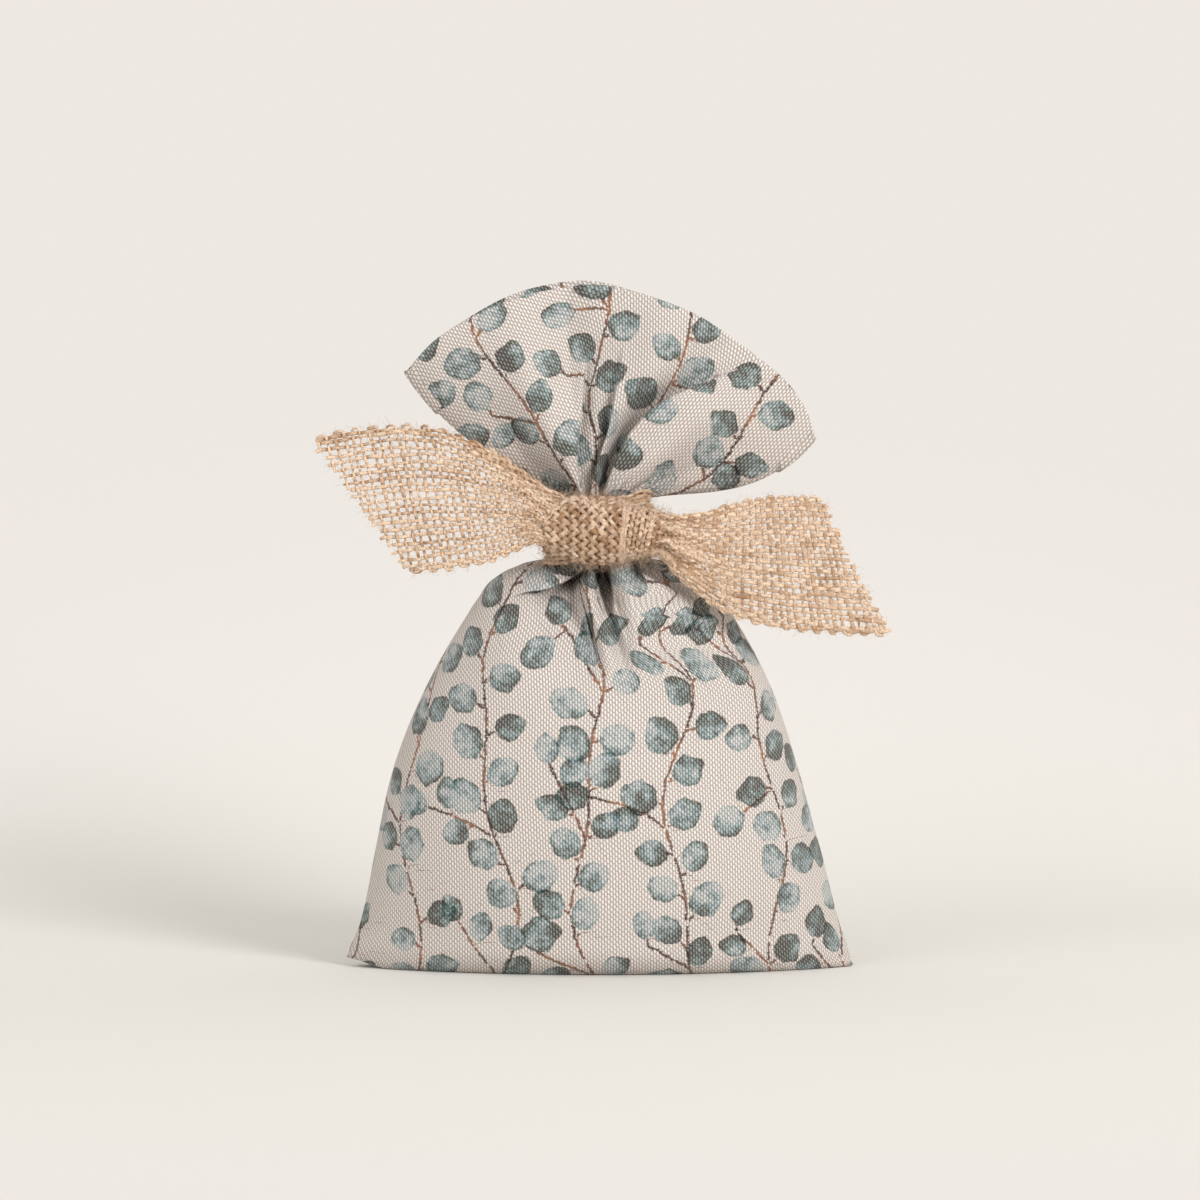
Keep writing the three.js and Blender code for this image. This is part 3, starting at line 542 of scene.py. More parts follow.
def wing_flat(grid, plain, name):
    """Flat places on a wing. What folds take up is counted from its crease, or else from the middle."""
    turned = WING_TURNS[name]
    pivot = CREASE_ENDS.get(name, TIE_POINT)
    x = plain[..., 0] - pivot[0]
    z = plain[..., 2] - pivot[1]
    start = np.full(len(plain), plain.shape[1] // 2)
    if name != "middle":
        crease, margin = (left_crease, -2) if name == "left" else (right_crease, 2)
        start = first_right_of(crease, plain, margin)
    across = pivot[0] + x * math.cos(turned) + z * math.sin(turned) + 0.5 * taken_up(grid, plain, start)
    up = pivot[1] - x * math.sin(turned) + z * math.cos(turned)
    return np.stack([across, up], axis=-1)


def face_corners(values):
    """The values at the four corners of every grid face, in the order the mesh uses."""
    return np.stack([values[:-1, :-1], values[:-1, 1:], values[1:, 1:], values[1:, :-1]], axis=2)


def flat_corners(side, grid, plain, rows):
    """Flat coordinates for each corner of each face."""
    body = face_corners(body_flat(side, grid, plain))
    places = face_corners(plain)
    centre = places.mean(axis=2, keepdims=True)
    frill = face_corners(wing_flat(grid, plain, "middle"))
    # Along a crease every face belongs to one wing. Above it they blend, over a band that widens upwards.
    blended = smoothstep(*WINGS_MEET, centre[..., 2])
    band = 3 + 11 * smoothstep(166, 190, places[..., 2])
    for name, crease, hand in (("left", left_crease, -1), ("right", right_crease, 1)):
        sharp = hand * along_path(crease, centre[..., 0], centre[..., 2])[0] > 0
        soft = smoothstep(-1, 1, hand * along_path(crease, places[..., 0], places[..., 2])[0] / band)
        share = (sharp + (soft - sharp) * blended)[..., None]
        frill = frill + (face_corners(wing_flat(grid, plain, name)) - frill) * share
    above = np.arange(len(body))[:, None, None, None] >= rows[1] + NECK_ROWS
    return np.where(above, frill, body)


# %% [markdown]
# The print is a common botanical one: slender brown stems climb the cloth, with rounded leaves in washes
# of blue and green on short stalks to either side. Its layout is drawn here from a seed. Stems sway up the
# cloth at even gaps and carry a leaf at each step, left and right by turns, with a side twig now and then.
# Leaves keep clear of each other, and what is left empty at the end is filled by more of them.

# %% A sprig print
LEAF_LENGTH, LEAF_WIDTH = 11.6, 10.2
STEM_GAP, LEAF_STEP = 28.0, 7.4
LEAF_ROOM = 8.7
FILL_TRIES, FILL_ROOM = 6000, 11.7


def sprig_print(seed, low, high):
    """Leaves as (x, y, angle, half length, half width, tone) and stem pieces as (x0, y0, x1, y1, tone)."""
    random = np.random.default_rng(seed)
    leaves, stems = [], []

    def leaf(place, heading, size, room=LEAF_ROOM):
        reach = size * LEAF_LENGTH / 2
        x, y = place[0] + reach * math.cos(heading), place[1] + reach * math.sin(heading)
        others = np.array([one[:2] for one in leaves]).reshape(-1, 2)
        if len(others) and np.min(np.hypot(*(others - (x, y)).T)) < room and random.random() > 0.3:
            return False
        width = size * LEAF_WIDTH / 2 * random.uniform(0.88, 1.05)
        leaves.append((x, y, heading, reach, width, random.random()))
        return True

    def stalk(place, heading, length, size, tone):
        tip = (place[0] + length * math.cos(heading), place[1] + length * math.sin(heading))
        placed = leaf(tip, heading + random.uniform(-0.45, 0.45), size)
        if placed:
            stems.append((*place, *tip, tone))
        return placed

    def twig(place, heading, steps, tone):
        drawn = []
        for i in range(steps):
            heading += random.uniform(-0.2, 0.3)
            ahead = (place[0] + LEAF_STEP * math.cos(heading), place[1] + LEAF_STEP * math.sin(heading))
            drawn.append((*place, *ahead, tone))
            turn = (1, -1)[i % 2] * random.uniform(0.7, 1.1) if i < steps - 1 else 0
            if stalk(ahead, heading + turn, 1.8, random.uniform(0.75, 0.95), tone):
                stems.extend(drawn)
                drawn = []
            place = ahead

    columns = np.arange(low[0], high[0], STEM_GAP) + random.uniform(-3, 3)
    for column in columns:
        sway = random.uniform(0, 2 * math.pi, 2)
        tone = random.random()
        height = low[1] + random.uniform(-10, 0)
        place, hand, step = None, 1, 0
        while height < high[1]:
            x = column + 4.6 * math.sin(height / 19 + sway[0]) + 2.0 * math.sin(height / 8.5 + sway[1])
            here = (x, height)
            if place is not None:
                stems.append((*place, *here, tone))
                heading = math.atan2(here[1] - place[1], here[0] - place[0])
                side = heading - hand * random.uniform(0.75, 1.15)
                stalk(here, side, random.uniform(1.4, 3.2), random.uniform(0.84, 1.1), tone)
                if step % 6 == 4 and random.random() < 0.75:
                    twig(here, heading + hand * random.uniform(0.5, 0.8), 3, tone)
            place, hand, step = here, -hand, step + 1
            height += LEAF_STEP * random.uniform(0.88, 1.12)
    starts = np.array(stems)[:, :2]
    for _ in range(FILL_TRIES):
        x, y = random.uniform(low[0], high[0]), random.uniform(low[1], high[1])
        others = np.array([one[:2] for one in leaves])
        if np.min(np.hypot(*(others - (x, y)).T)) > FILL_ROOM:
            root = starts[np.argmin(np.hypot(*(starts - (x, y)).T))]
            heading = math.atan2(y - root[1], x - root[0])
            size = random.uniform(0.84, 1.06)
            reach = size * LEAF_LENGTH / 2
            tip = (x - reach * math.cos(heading), y - reach * math.sin(heading))
            if leaf(tip, heading, size, 0):
                stems.append((*root, *tip, random.random()))
    return np.array(leaves), np.array(stems)


# %% [markdown]
# To keep the leaves' outlines crisp, the print isn't painted on the mesh's points. Each face finds the two
# leaves and the stem piece nearest to it, and stores its corners' places in their own coordinates: along
# and across the leaf, or the stem. The material then draws each outline exactly, at any distance.

# %% Print attributes
def nearest_leaves(flat, leaves):
    """For each corner: along, across and tone of the nearest leaf and of the next one."""
    centre = flat.mean(axis=2).reshape(-1, 2)
    corners = flat.reshape(-1, 4, 2)
    picks = np.empty((len(centre), 2), int)
    angle = leaves[:, 2]
    for start in range(0, len(centre), 4000):
        part = slice(start, start + 4000)
        dx = centre[part, None, 0] - leaves[None, :, 0]
        dy = centre[part, None, 1] - leaves[None, :, 1]
        p = (dx * np.cos(angle) + dy * np.sin(angle)) / leaves[:, 3]
        q = (-dx * np.sin(angle) + dy * np.cos(angle)) / leaves[:, 4]
        score = p * p + q * q
        first = np.argmin(score, axis=1)
        rows = np.arange(len(first))
        score[rows, first] = np.inf
        picks[part] = np.column_stack([first, np.argmin(score, axis=1)])
    out = []
    for k in range(2):
        own = leaves[picks[:, k]]
        dx = corners[..., 0] - own[:, None, 0]
        dy = corners[..., 1] - own[:, None, 1]
        cos, sin = np.cos(own[:, None, 2]), np.sin(own[:, None, 2])
        p = (dx * cos + dy * sin) / own[:, None, 3]
        q = (-dx * sin + dy * cos) / own[:, None, 4]
        tone = own[:, None, 5] + 0 * p
        out.append(np.stack([p, q, tone], axis=-1).reshape(-1, 3))
    return out


def nearest_stem(flat, stems):
    """For each corner: across and along the nearest stem piece, in mm, and its tone."""
    centre = flat.mean(axis=2).reshape(-1, 2)
    corners = flat.reshape(-1, 4, 2)
    start, step = stems[:, :2], stems[:, 2:4] - stems[:, :2]
    length = np.hypot(step[:, 0], step[:, 1])
    unit = step / length[:, None]
    pick = np.empty(len(centre), int)
    for first in range(0, len(centre), 4000):
        part = slice(first, first + 4000)
        off = centre[part, None] - start[None]
        t = np.clip((off * unit).sum(-1), 0, length)
        away = np.linalg.norm(off - t[..., None] * unit, axis=-1)
        pick[part] = np.argmin(away, axis=1)
    off = corners - start[pick][:, None]
    own = unit[pick][:, None]
    along = (off * own).sum(-1)
    across = off[..., 1] * own[..., 0] - off[..., 0] * own[..., 1]
    past = np.maximum(np.maximum(-along, along - length[pick][:, None]), 0)
    across = np.where(past > 0.6, 9, across)
    tone = stems[pick, 4][:, None] + 0 * along
    return np.stack([across, along, tone], axis=-1).reshape(-1, 3)


def smooth_mesh(name, points, faces):
    """A mesh with smooth shading, from points in metres."""
    mesh = bpy.data.meshes.new(name)
    mesh.from_pydata(points, [], faces)
    mesh.polygons.foreach_set("use_smooth", [True] * len(mesh.polygons))
    return mesh


def sheet_mesh(name, side, grid, flat, seed):
    """A panel's mesh, with its flat coordinates and print stored on the corners of its faces."""
    rows, columns = grid.shape[:2]
    index = np.arange(rows * columns).reshape(rows, columns)
    faces = face_corners(index).reshape(-1, 4)
    corners = flat
    if side == BACK:
        faces, corners = faces[:, ::-1], flat[:, :, ::-1]
    mesh = smooth_mesh(name, (grid.reshape(-1, 3) * MM).tolist(), faces.tolist())
    leaves, stems = sprig_print(seed, (-115, -70), (115, 235))
    first, second = nearest_leaves(corners, leaves)
    values = {
        "flat_mm": np.concatenate([corners.reshape(-1, 2), np.zeros((len(faces) * 4, 1))], axis=1),
        "leaf": first,
        "leaf_behind": second,
        "stem": nearest_stem(corners, stems),
    }
    for attribute, data in values.items():
        mesh.attributes.new(attribute, "FLOAT_VECTOR", "CORNER").data.foreach_set(
            "vector", data.astype(np.float32).ravel())
    return mesh


# %% [markdown]
# ## The printed cotton
#
# The cloth is a coarse plain weave, a light canvas, printed on its outer side. Close up, each thread's
# crown is a pale dot between darker gaps, and neighbouring columns are set off by half a step. The gaps'
# darker colour is painted shade between the threads. The ink is a thin wash: it tints crowns and gaps alike,
# is darker along the leaf's edge where it dried last, and is broken up by the weave. The weave here has the
# real pitch, in flat millimetres of cloth.

# %% Cotton material
WARP_PITCH = 0.845
WEFT_PITCH = 1.5  # from one crown of a warp thread to the next


def weave_nodes(tree, flat, across_pitch, up_pitch):
    """A plain weave's height, 1 on the crowns of the threads and 0 in the gaps between them."""
    split = add_node(tree, "ShaderNodeSeparateXYZ", _0=flat)
    column = add_node(tree, "ShaderNodeMath", {"operation": "DIVIDE"}, _0=split, _1=across_pitch)
    number = add_node(tree, "ShaderNodeMath", {"operation": "FLOOR"}, _0=column)
    beside = add_node(tree, "ShaderNodeMath", {"operation": "FRACT"}, _0=column)
    odd = add_node(tree, "ShaderNodeMath", {"operation": "PINGPONG"}, _0=number, _1=1.0)
    half = add_node(tree, "ShaderNodeMath", {"operation": "MULTIPLY"}, _0=odd, _1=0.5)
    row = add_node(tree, "ShaderNodeMath", {"operation": "DIVIDE"}, _0=split.outputs[1], _1=up_pitch)
    shifted = add_node(tree, "ShaderNodeMath", {"operation": "ADD"}, _0=row, _1=half)
    # The twist of the threads makes each crown lean
    shifted = add_node(tree, "ShaderNodeMath", {"operation": "MULTIPLY_ADD"}, _0=beside, _1=0.26, _2=shifted)
    crowns = []
    # A crown is taller than wide, so its sine across is sharper than the one along the thread
    for place, power in ((column, 0.85), (shifted, 0.5)):
        part = add_node(tree, "ShaderNodeMath", {"operation": "FRACT"}, _0=place)
        arch = add_node(tree, "ShaderNodeMath", {"operation": "MULTIPLY"}, _0=part, _1=math.pi)
        sine = add_node(tree, "ShaderNodeMath", {"operation": "SINE"}, _0=arch)
        crowns.append(add_node(tree, "ShaderNodeMath", {"operation": "POWER"}, _0=sine, _1=power))
    height = add_node(tree, "ShaderNodeMath", {"operation": "MULTIPLY"}, _0=crowns[0], _1=crowns[1])
    return height.outputs[0]


def new_material(name):
    material = bpy.data.materials.new(name)
    material.use_nodes = True
    material.node_tree.nodes.clear()
    return material, material.node_tree


def matt_surface(tree, colour, height, relief, strength, roughness, sheen, gloss):
    """Ends a material: a matt surface, with a bump from a height field whose relief is in mm."""
    bump = add_node(tree, "ShaderNodeBump", {}, Height=height, Distance=relief * MM, Strength=strength)
    shader = add_node(tree, "ShaderNodeBsdfPrincipled", {}, Base_Color=colour, Roughness=roughness,
                      Normal=bump, Sheen_Weight=sheen, Specular_IOR_Level=gloss)
    add_node(tree, "ShaderNodeOutputMaterial", {}, Surface=shader)


def attribute_output(tree, name):
    return add_node(tree, "ShaderNodeAttribute", {"attribute_name": name}).outputs["Vector"]


def leaf_mask(tree, name, flat):
    """Where one leaf's wash lies, and how near its edge, from the leaf's own coordinates."""
    leaf = add_node(tree, "ShaderNodeSeparateXYZ", _0=attribute_output(tree, name))
    along, across, tone = leaf.outputs
    # A rounded leaf with a short point: across grows wider apart near the tip
    point = add_node(tree, "ShaderNodeMath", {"operation": "MULTIPLY_ADD"}, _0=tone, _1=0.5, _2=1.1)
    tip = add_node(tree, "ShaderNodeMapRange", {"clamp": True}, Value=along, From_Min=0.1, From_Max=1.0,
                   To_Min=1.0, To_Max=point)
    wide = add_node(tree, "ShaderNodeMath", {"operation": "MULTIPLY"}, _0=across, _1=tip)
    place = add_node(tree, "ShaderNodeCombineXYZ", _0=along, _1=wide)
    radius = add_node(tree, "ShaderNodeVectorMath", {"operation": "LENGTH"}, _0=place)
    wobble = add_node(tree, "ShaderNodeTexNoise", {}, Vector=flat, Scale=0.32, Detail=3.0)
    centred = add_node(tree, "ShaderNodeMath", {"operation": "MULTIPLY_ADD"}, _0=wobble, _1=0.5, _2=-0.25)
    edge = add_node(tree, "ShaderNodeMath", {"operation": "ADD"}, _0=radius.outputs["Value"], _1=centred)
    mask = add_node(tree, "ShaderNodeMapRange", {"clamp": True}, Value=edge, From_Min=0.97,
                    From_Max=0.9, To_Min=0.0, To_Max=1.0)
    rim = add_node(tree, "ShaderNodeMapRange", {"clamp": True}, Value=edge, From_Min=0.62,
                   From_Max=0.95, To_Min=0.0, To_Max=1.0)
    return mask.outputs[0], rim.outputs[0], along, across, tone


def wash_nodes(tree, under, cloth, crown, leaf, flat, cover):
    """Lays one leaf's wash over the cloth; cover is how much of the ink under it is hidden."""
    mask, rim, along, across, tone = leaf
    shifted = add_node(tree, "ShaderNodeCombineXYZ", _0=tone, _1=tone, _2=tone)
    spread = add_node(tree, "ShaderNodeVectorMath", {"operation": "MULTIPLY_ADD"}, _0=shifted,
                      _1=(37.0, 11.0, 5.0), _2=flat)
    cloud = add_node(tree, "ShaderNodeTexNoise", {}, Vector=spread, Scale=0.24, Detail=5.0, Roughness=0.7)
    mixed = add_node(tree, "ShaderNodeMath", {"operation": "MULTIPLY_ADD"}, _0=rim, _1=0.1, _2=cloud)
    mixed = add_node(tree, "ShaderNodeMath", {"operation": "MULTIPLY_ADD"}, _0=mixed, _1=2.0, _2=-0.67)
    # Each leaf's wash pooled towards a side of its own
    aim = add_node(tree, "ShaderNodeMath", {"operation": "MULTIPLY"}, _0=tone, _1=40.0)
    sides = []
    for operation, place in (("COSINE", along), ("SINE", across)):
        part = add_node(tree, "ShaderNodeMath", {"operation": operation}, _0=aim)
        part = add_node(tree, "ShaderNodeMath", {"operation": "MULTIPLY"}, _0=part, _1=place)
        sides.append(part.outputs[0])
    pooled = add_node(tree, "ShaderNodeMath", {"operation": "ADD"}, _0=sides[0], _1=sides[1])
    pooled = add_node(tree, "ShaderNodeMath", {"operation": "MULTIPLY_ADD"}, _0=pooled, _1=0.23, _2=mixed)
    toned = add_node(tree, "ShaderNodeMath", {"operation": "MULTIPLY_ADD"}, _0=tone, _1=0.46, _2=pooled)
    ramp = add_node(tree, "ShaderNodeValToRGB", {}, Fac=toned)
    ramp.color_ramp.elements[0].position = 0.34
    ramp.color_ramp.elements[0].color = linear("#dceaf0")
    ramp.color_ramp.elements[1].position = 0.96
    ramp.color_ramp.elements[1].color = linear("#1d2c2a")
    for place, shade in ((0.5, "#a9c7d2"), (0.65, "#76999f"), (0.79, "#46605a")):
        ramp.color_ramp.elements.new(place).color = linear(shade)
    ochre = add_node(tree, "ShaderNodeMapRange", {"clamp": True}, Value=cloud.outputs[1], From_Min=0.62,
                     From_Max=0.74, To_Min=0.0, To_Max=0.8)
    touched = add_node(tree, "ShaderNodeMix", {"data_type": "RGBA"}, _0=ochre, _6=ramp, _7=linear("#dccb8a"))
    washed = add_node(tree, "ShaderNodeMix", {"data_type": "RGBA", "blend_type": "MULTIPLY"}, _0=1.0,
                      _6=cloth, _7=touched.outputs[2])
    # The ink lies thinner on the crowns of the threads
    thin = add_node(tree, "ShaderNodeMath", {"operation": "MULTIPLY_ADD"}, _0=crown, _1=-0.2 * cover,
                    _2=cover)
    covered = add_node(tree, "ShaderNodeMath", {"operation": "MULTIPLY"}, _0=mask, _1=thin)
    layer = add_node(tree, "ShaderNodeMix", {"data_type": "RGBA"}, _0=covered, _6=under, _7=washed.outputs[2])
    return layer.outputs[2]


def stem_nodes(tree, colour, crown, leaf, flat):
    """Lays the thin brown stems over a colour, broken by the weave, and behind all but the palest leaves."""
    stem = add_node(tree, "ShaderNodeSeparateXYZ", _0=attribute_output(tree, "stem"))
    wander = add_node(tree, "ShaderNodeTexNoise", {}, Vector=flat, Scale=0.5, Detail=2.0)
    moved = add_node(tree, "ShaderNodeMath", {"operation": "MULTIPLY_ADD"}, _0=wander, _1=1.2, _2=stem)
    centred = add_node(tree, "ShaderNodeMath", {"operation": "SUBTRACT"}, _0=moved, _1=0.6)
    off = add_node(tree, "ShaderNodeMath", {"operation": "ABSOLUTE"}, _0=centred)
    patches = add_node(tree, "ShaderNodeTexNoise", {}, Vector=flat, Scale=1.2, Detail=2.0)
    width = add_node(tree, "ShaderNodeMapRange", {"clamp": True}, Value=patches, From_Min=0.35,
                     From_Max=0.65, To_Min=0.16, To_Max=0.7)
    ratio = add_node(tree, "ShaderNodeMath", {"operation": "DIVIDE"}, _0=off, _1=width)
    mask = add_node(tree, "ShaderNodeMapRange", {"clamp": True}, Value=ratio, From_Min=1.15,
                    From_Max=0.8, To_Min=0.0, To_Max=1.0)
    drift = add_node(tree, "ShaderNodeTexNoise", {}, Vector=flat, Scale=0.11, Detail=2.0)
    shade = add_node(tree, "ShaderNodeMapRange", {"clamp": True}, Value=drift, From_Min=0.44,
                     From_Max=0.64, To_Min=0.0, To_Max=1.0)
    tint = add_node(tree, "ShaderNodeMix", {"data_type": "RGBA"}, _0=shade,
                    _6=linear("#4a1f14"), _7=linear("#b5753c"))
    dotted = add_node(tree, "ShaderNodeMapRange", {"clamp": True}, Value=crown, From_Min=0.1, From_Max=0.9,
                      To_Min=0.7, To_Max=1.0)
    inked = add_node(tree, "ShaderNodeMath", {"operation": "MULTIPLY"}, _0=mask, _1=dotted)
    behind = add_node(tree, "ShaderNodeMapRange", {"clamp": True}, Value=leaf[4], From_Min=0.6, From_Max=0.64,
                      To_Min=-0.9, To_Max=-0.1)
    shown = add_node(tree, "ShaderNodeMath", {"operation": "MULTIPLY_ADD"}, _0=leaf[0], _1=behind, _2=1.0)
    inked = add_node(tree, "ShaderNodeMath", {"operation": "MULTIPLY"}, _0=inked, _1=shown)
    layer = add_node(tree, "ShaderNodeMix", {"data_type": "RGBA", "blend_type": "MULTIPLY"},
                     _0=inked, _6=colour, _7=tint.outputs[2])
    return layer.outputs[2]


def cotton_material(name, printed):
    """Undyed cotton canvas; printed adds the sprigs' ink."""
    material, tree = new_material(name)
    flat = attribute_output(tree, "flat_mm")
    slub = add_node(tree, "ShaderNodeTexNoise", {}, Vector=flat, Scale=0.45, Detail=3.0)
    bent = add_node(tree, "ShaderNodeVectorMath", {"operation": "MULTIPLY_ADD"}, _0=slub.outputs[1],
                    _1=(0.5, 0.5, 0.0), _2=flat)
    weave = weave_nodes(tree, bent.outputs[0], WARP_PITCH, WEFT_PITCH)
    crown = add_node(tree, "ShaderNodeMapRange", {"clamp": True}, Value=weave, From_Min=0.3, From_Max=0.95,
                     To_Min=0.0, To_Max=1.0)
    # The gaps between the threads get the darker colour: painted shade
    cloth = add_node(tree, "ShaderNodeMix", {"data_type": "RGBA"}, _0=crown,
                     _6=linear("#a39891"), _7=linear("#e4dbd4"))
    colour = cloth.outputs[2]
    if printed:
        bare = colour
        leaf, leaf_behind = (leaf_mask(tree, attribute, flat) for attribute in ("leaf", "leaf_behind"))
        colour = wash_nodes(tree, colour, bare, crown.outputs[0], leaf_behind, flat, 1.0)
        colour = wash_nodes(tree, colour, bare, crown.outputs[0], leaf, flat, 0.88)
        colour = stem_nodes(tree, colour, crown.outputs[0], leaf, flat)
    matt_surface(tree, colour, weave, relief=0.22, strength=0.7, roughness=0.88, sheen=0.12, gloss=0.2)
    return material


printed_cotton = cotton_material("printed_cotton_canvas", True)
cotton_reverse = cotton_material("cotton_canvas_reverse", False)

# %% [markdown]
# The two panels are turned into objects. A sheet of no thickness looks like paper at its hem, so Solidify
# gives it the canvas's own thickness on the inside, and the inner layer gets the unprinted reverse.

# %% The two panels
def plain_mesh(thing):
    """Applies an object's modifiers and leaves a plain mesh."""
    evaluated = thing.evaluated_get(bpy.context.evaluated_depsgraph_get())
    mesh = bpy.data.meshes.new_from_object(evaluated, preserve_all_data_layers=True,
                                           depsgraph=bpy.context.evaluated_depsgraph_get())
    thing.modifiers.clear()
    thing.data = mesh
    return thing


def new_object(name, mesh, *materials):
    thing = bpy.data.objects.new(name, mesh)
    bpy.context.collection.objects.link(thing)
    for material in materials:
        thing.data.materials.append(material)
    return thing


def make_panel(name, side, seed):
    grid, rows = grids[side]
    flat = flat_corners(side, grid, plain_grids[side], rows)
    panel = new_object(name, sheet_mesh(name, side, grid, flat, seed), printed_cotton, cotton_reverse)
    thick = panel.modifiers.new("thickness", "SOLIDIFY")
    thick.thickness = CLOTH_THICKNESS * MM
    thick.offset = -1
    thick.material_offset = 1
    return plain_mesh(panel)


cloth_front = make_panel("bag_cloth_front", FRONT, 7)
cloth_back = make_panel("bag_cloth_back", BACK, 21)
for panel, nodes in ((cloth_front, ("front_panel", "front_frill")),
                     (cloth_back, ("back_panel", "back_frill"))):
    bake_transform(panel)
    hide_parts(*nodes)
    print(panel.name, "has", len(panel.data.polygons), "faces")

# %% [markdown]
# ## The jute ribbon
#
# The ribbon is so coarse that the table shows through its tail, and no bump map can do that: it is built
# from its own threads. Python lays each thread as a line on a base surface, over one crossing thread and
# under the next. A Geometry Nodes tree then turns the lines into uneven yarn, pressed a little flat, and
# grows the loose fibres on it that make jute look hairy.

# %% Yarn from lines: the node tree
YARN_WIDE, YARN_THIN = 1.25, 0.75


def yarn_tree():
    """Lines with yarn_radius, axis and through attributes become yarn with loose fibres."""
    tree = bpy.data.node_groups.new("jute_yarn", "GeometryNodeTree")
    ports = tree.interface
    ports.new_socket("Geometry", in_out="INPUT", socket_type="NodeSocketGeometry")
    for name, kind in (("Sides", "NodeSocketInt"), ("Fibres Per Area", "NodeSocketFloat"),
                       ("Fibre Length", "NodeSocketFloat"), ("Fibre Radius", "NodeSocketFloat"),
                       ("Seed", "NodeSocketInt"), ("Yarn", "NodeSocketMaterial")):
        ports.new_socket(name, in_out="INPUT", socket_type=kind)
    ports.new_socket("Geometry", in_out="OUTPUT", socket_type="NodeSocketGeometry")
    given = add_node(tree, "NodeGroupInput").outputs
    thickness = add_node(tree, "GeometryNodeInputNamedAttribute", {"data_type": "FLOAT"}, Name="yarn_radius")
    lines = add_node(tree, "GeometryNodeMeshToCurve", {}, Mesh=given["Geometry"])
    ring = add_node(tree, "GeometryNodeCurvePrimitiveCircle", {}, Resolution=given["Sides"], Radius=1.0)
    round_yarn = add_node(tree, "GeometryNodeCurveToMesh", {}, Curve=lines,
                          Profile_Curve=ring, Scale=thickness, Fill_Caps=True)
    # Soft yarn is pressed flat where threads cross: wider along the cloth and thinner through it
    axis, through = (add_node(tree, "GeometryNodeInputNamedAttribute", {"data_type": "FLOAT_VECTOR"},
                              Name=name) for name in ("axis", "through"))
    here = add_node(tree, "GeometryNodeInputPosition")
    off = add_node(tree, "ShaderNodeVectorMath", {"operation": "SUBTRACT"}, _0=here, _1=axis)
    depth = add_node(tree, "ShaderNodeVectorMath", {"operation": "DOT_PRODUCT"}, _0=off, _1=through)
    pressed = add_node(tree, "ShaderNodeMath", {"operation": "MULTIPLY"}, _0=depth.outputs["Value"],
                       _1=YARN_THIN - YARN_WIDE)
    inward = add_node(tree, "ShaderNodeVectorMath", {"operation": "SCALE"}, _0=through, Scale=pressed)
    wider = add_node(tree, "ShaderNodeVectorMath", {"operation": "MULTIPLY_ADD"}, _0=off,
                     _1=(YARN_WIDE - 1,) * 3, _2=inward)
    yarn = add_node(tree, "GeometryNodeSetPosition", {}, Geometry=round_yarn, Offset=wider)

    # Loose fibres: a short bent hair on scattered points of the yarn, turned every way
    points = add_node(tree, "GeometryNodeDistributePointsOnFaces", {}, Mesh=yarn,
                      Density=given["Fibres Per Area"], Seed=given["Seed"])
    hair = add_node(tree, "GeometryNodeCurveQuadraticBezier", {}, Resolution=4, Start=(0, 0, 0),
                    Middle=(0.2, 0.45, 0.25), End=(0.8, 0.15, 0.42))
    thin = add_node(tree, "ShaderNodeMath", {"operation": "DIVIDE"}, _0=given["Fibre Radius"],
                    _1=given["Fibre Length"])
    hair_ring = add_node(tree, "GeometryNodeCurvePrimitiveCircle", {}, Resolution=3, Radius=thin)
    strand = add_node(tree, "GeometryNodeCurveToMesh", {}, Curve=hair,
                      Profile_Curve=hair_ring, Fill_Caps=True)
    spin = add_node(tree, "FunctionNodeRandomValue", {"data_type": "FLOAT_VECTOR"}, _0=(-0.7, -0.7, 0.0),
                    _1=(0.7, 0.7, 6.283), Seed=given["Seed"])
    turned = add_node(tree, "FunctionNodeRotateRotation", {"rotation_space": "LOCAL"},
                      Rotation=points.outputs["Rotation"], Rotate_By=spin)
    reach = add_node(tree, "FunctionNodeRandomValue", {"data_type": "FLOAT"}, _2=0.35, _3=1.0,
                     Seed=given["Seed"])
    length = add_node(tree, "ShaderNodeMath", {"operation": "MULTIPLY"}, _0=reach.outputs[1],
                      _1=given["Fibre Length"])
    placed = add_node(tree, "GeometryNodeInstanceOnPoints", {}, Points=points,
                      Instance=strand, Rotation=turned, Scale=length)
    whole = add_node(tree, "GeometryNodeJoinGeometry", {}, _0=yarn)
    tree.links.new(placed.outputs[0], whole.inputs[0])
    solid = add_node(tree, "GeometryNodeRealizeInstances", {}, Geometry=whole)
    smooth = add_node(tree, "GeometryNodeSetShadeSmooth", {}, Geometry=solid)
    dyed = add_node(tree, "GeometryNodeSetMaterial", {}, Geometry=smooth, Material=given["Yarn"])
    add_node(tree, "NodeGroupOutput", {}, Geometry=dyed)
    return tree


# %% [markdown]
# Jute is a bast fibre, spun into a hairy, uneven yarn: straw-coloured, matt, with darker strands. The
# colour drifts along each thread and from thread to thread, and fine streaks follow the fibres.

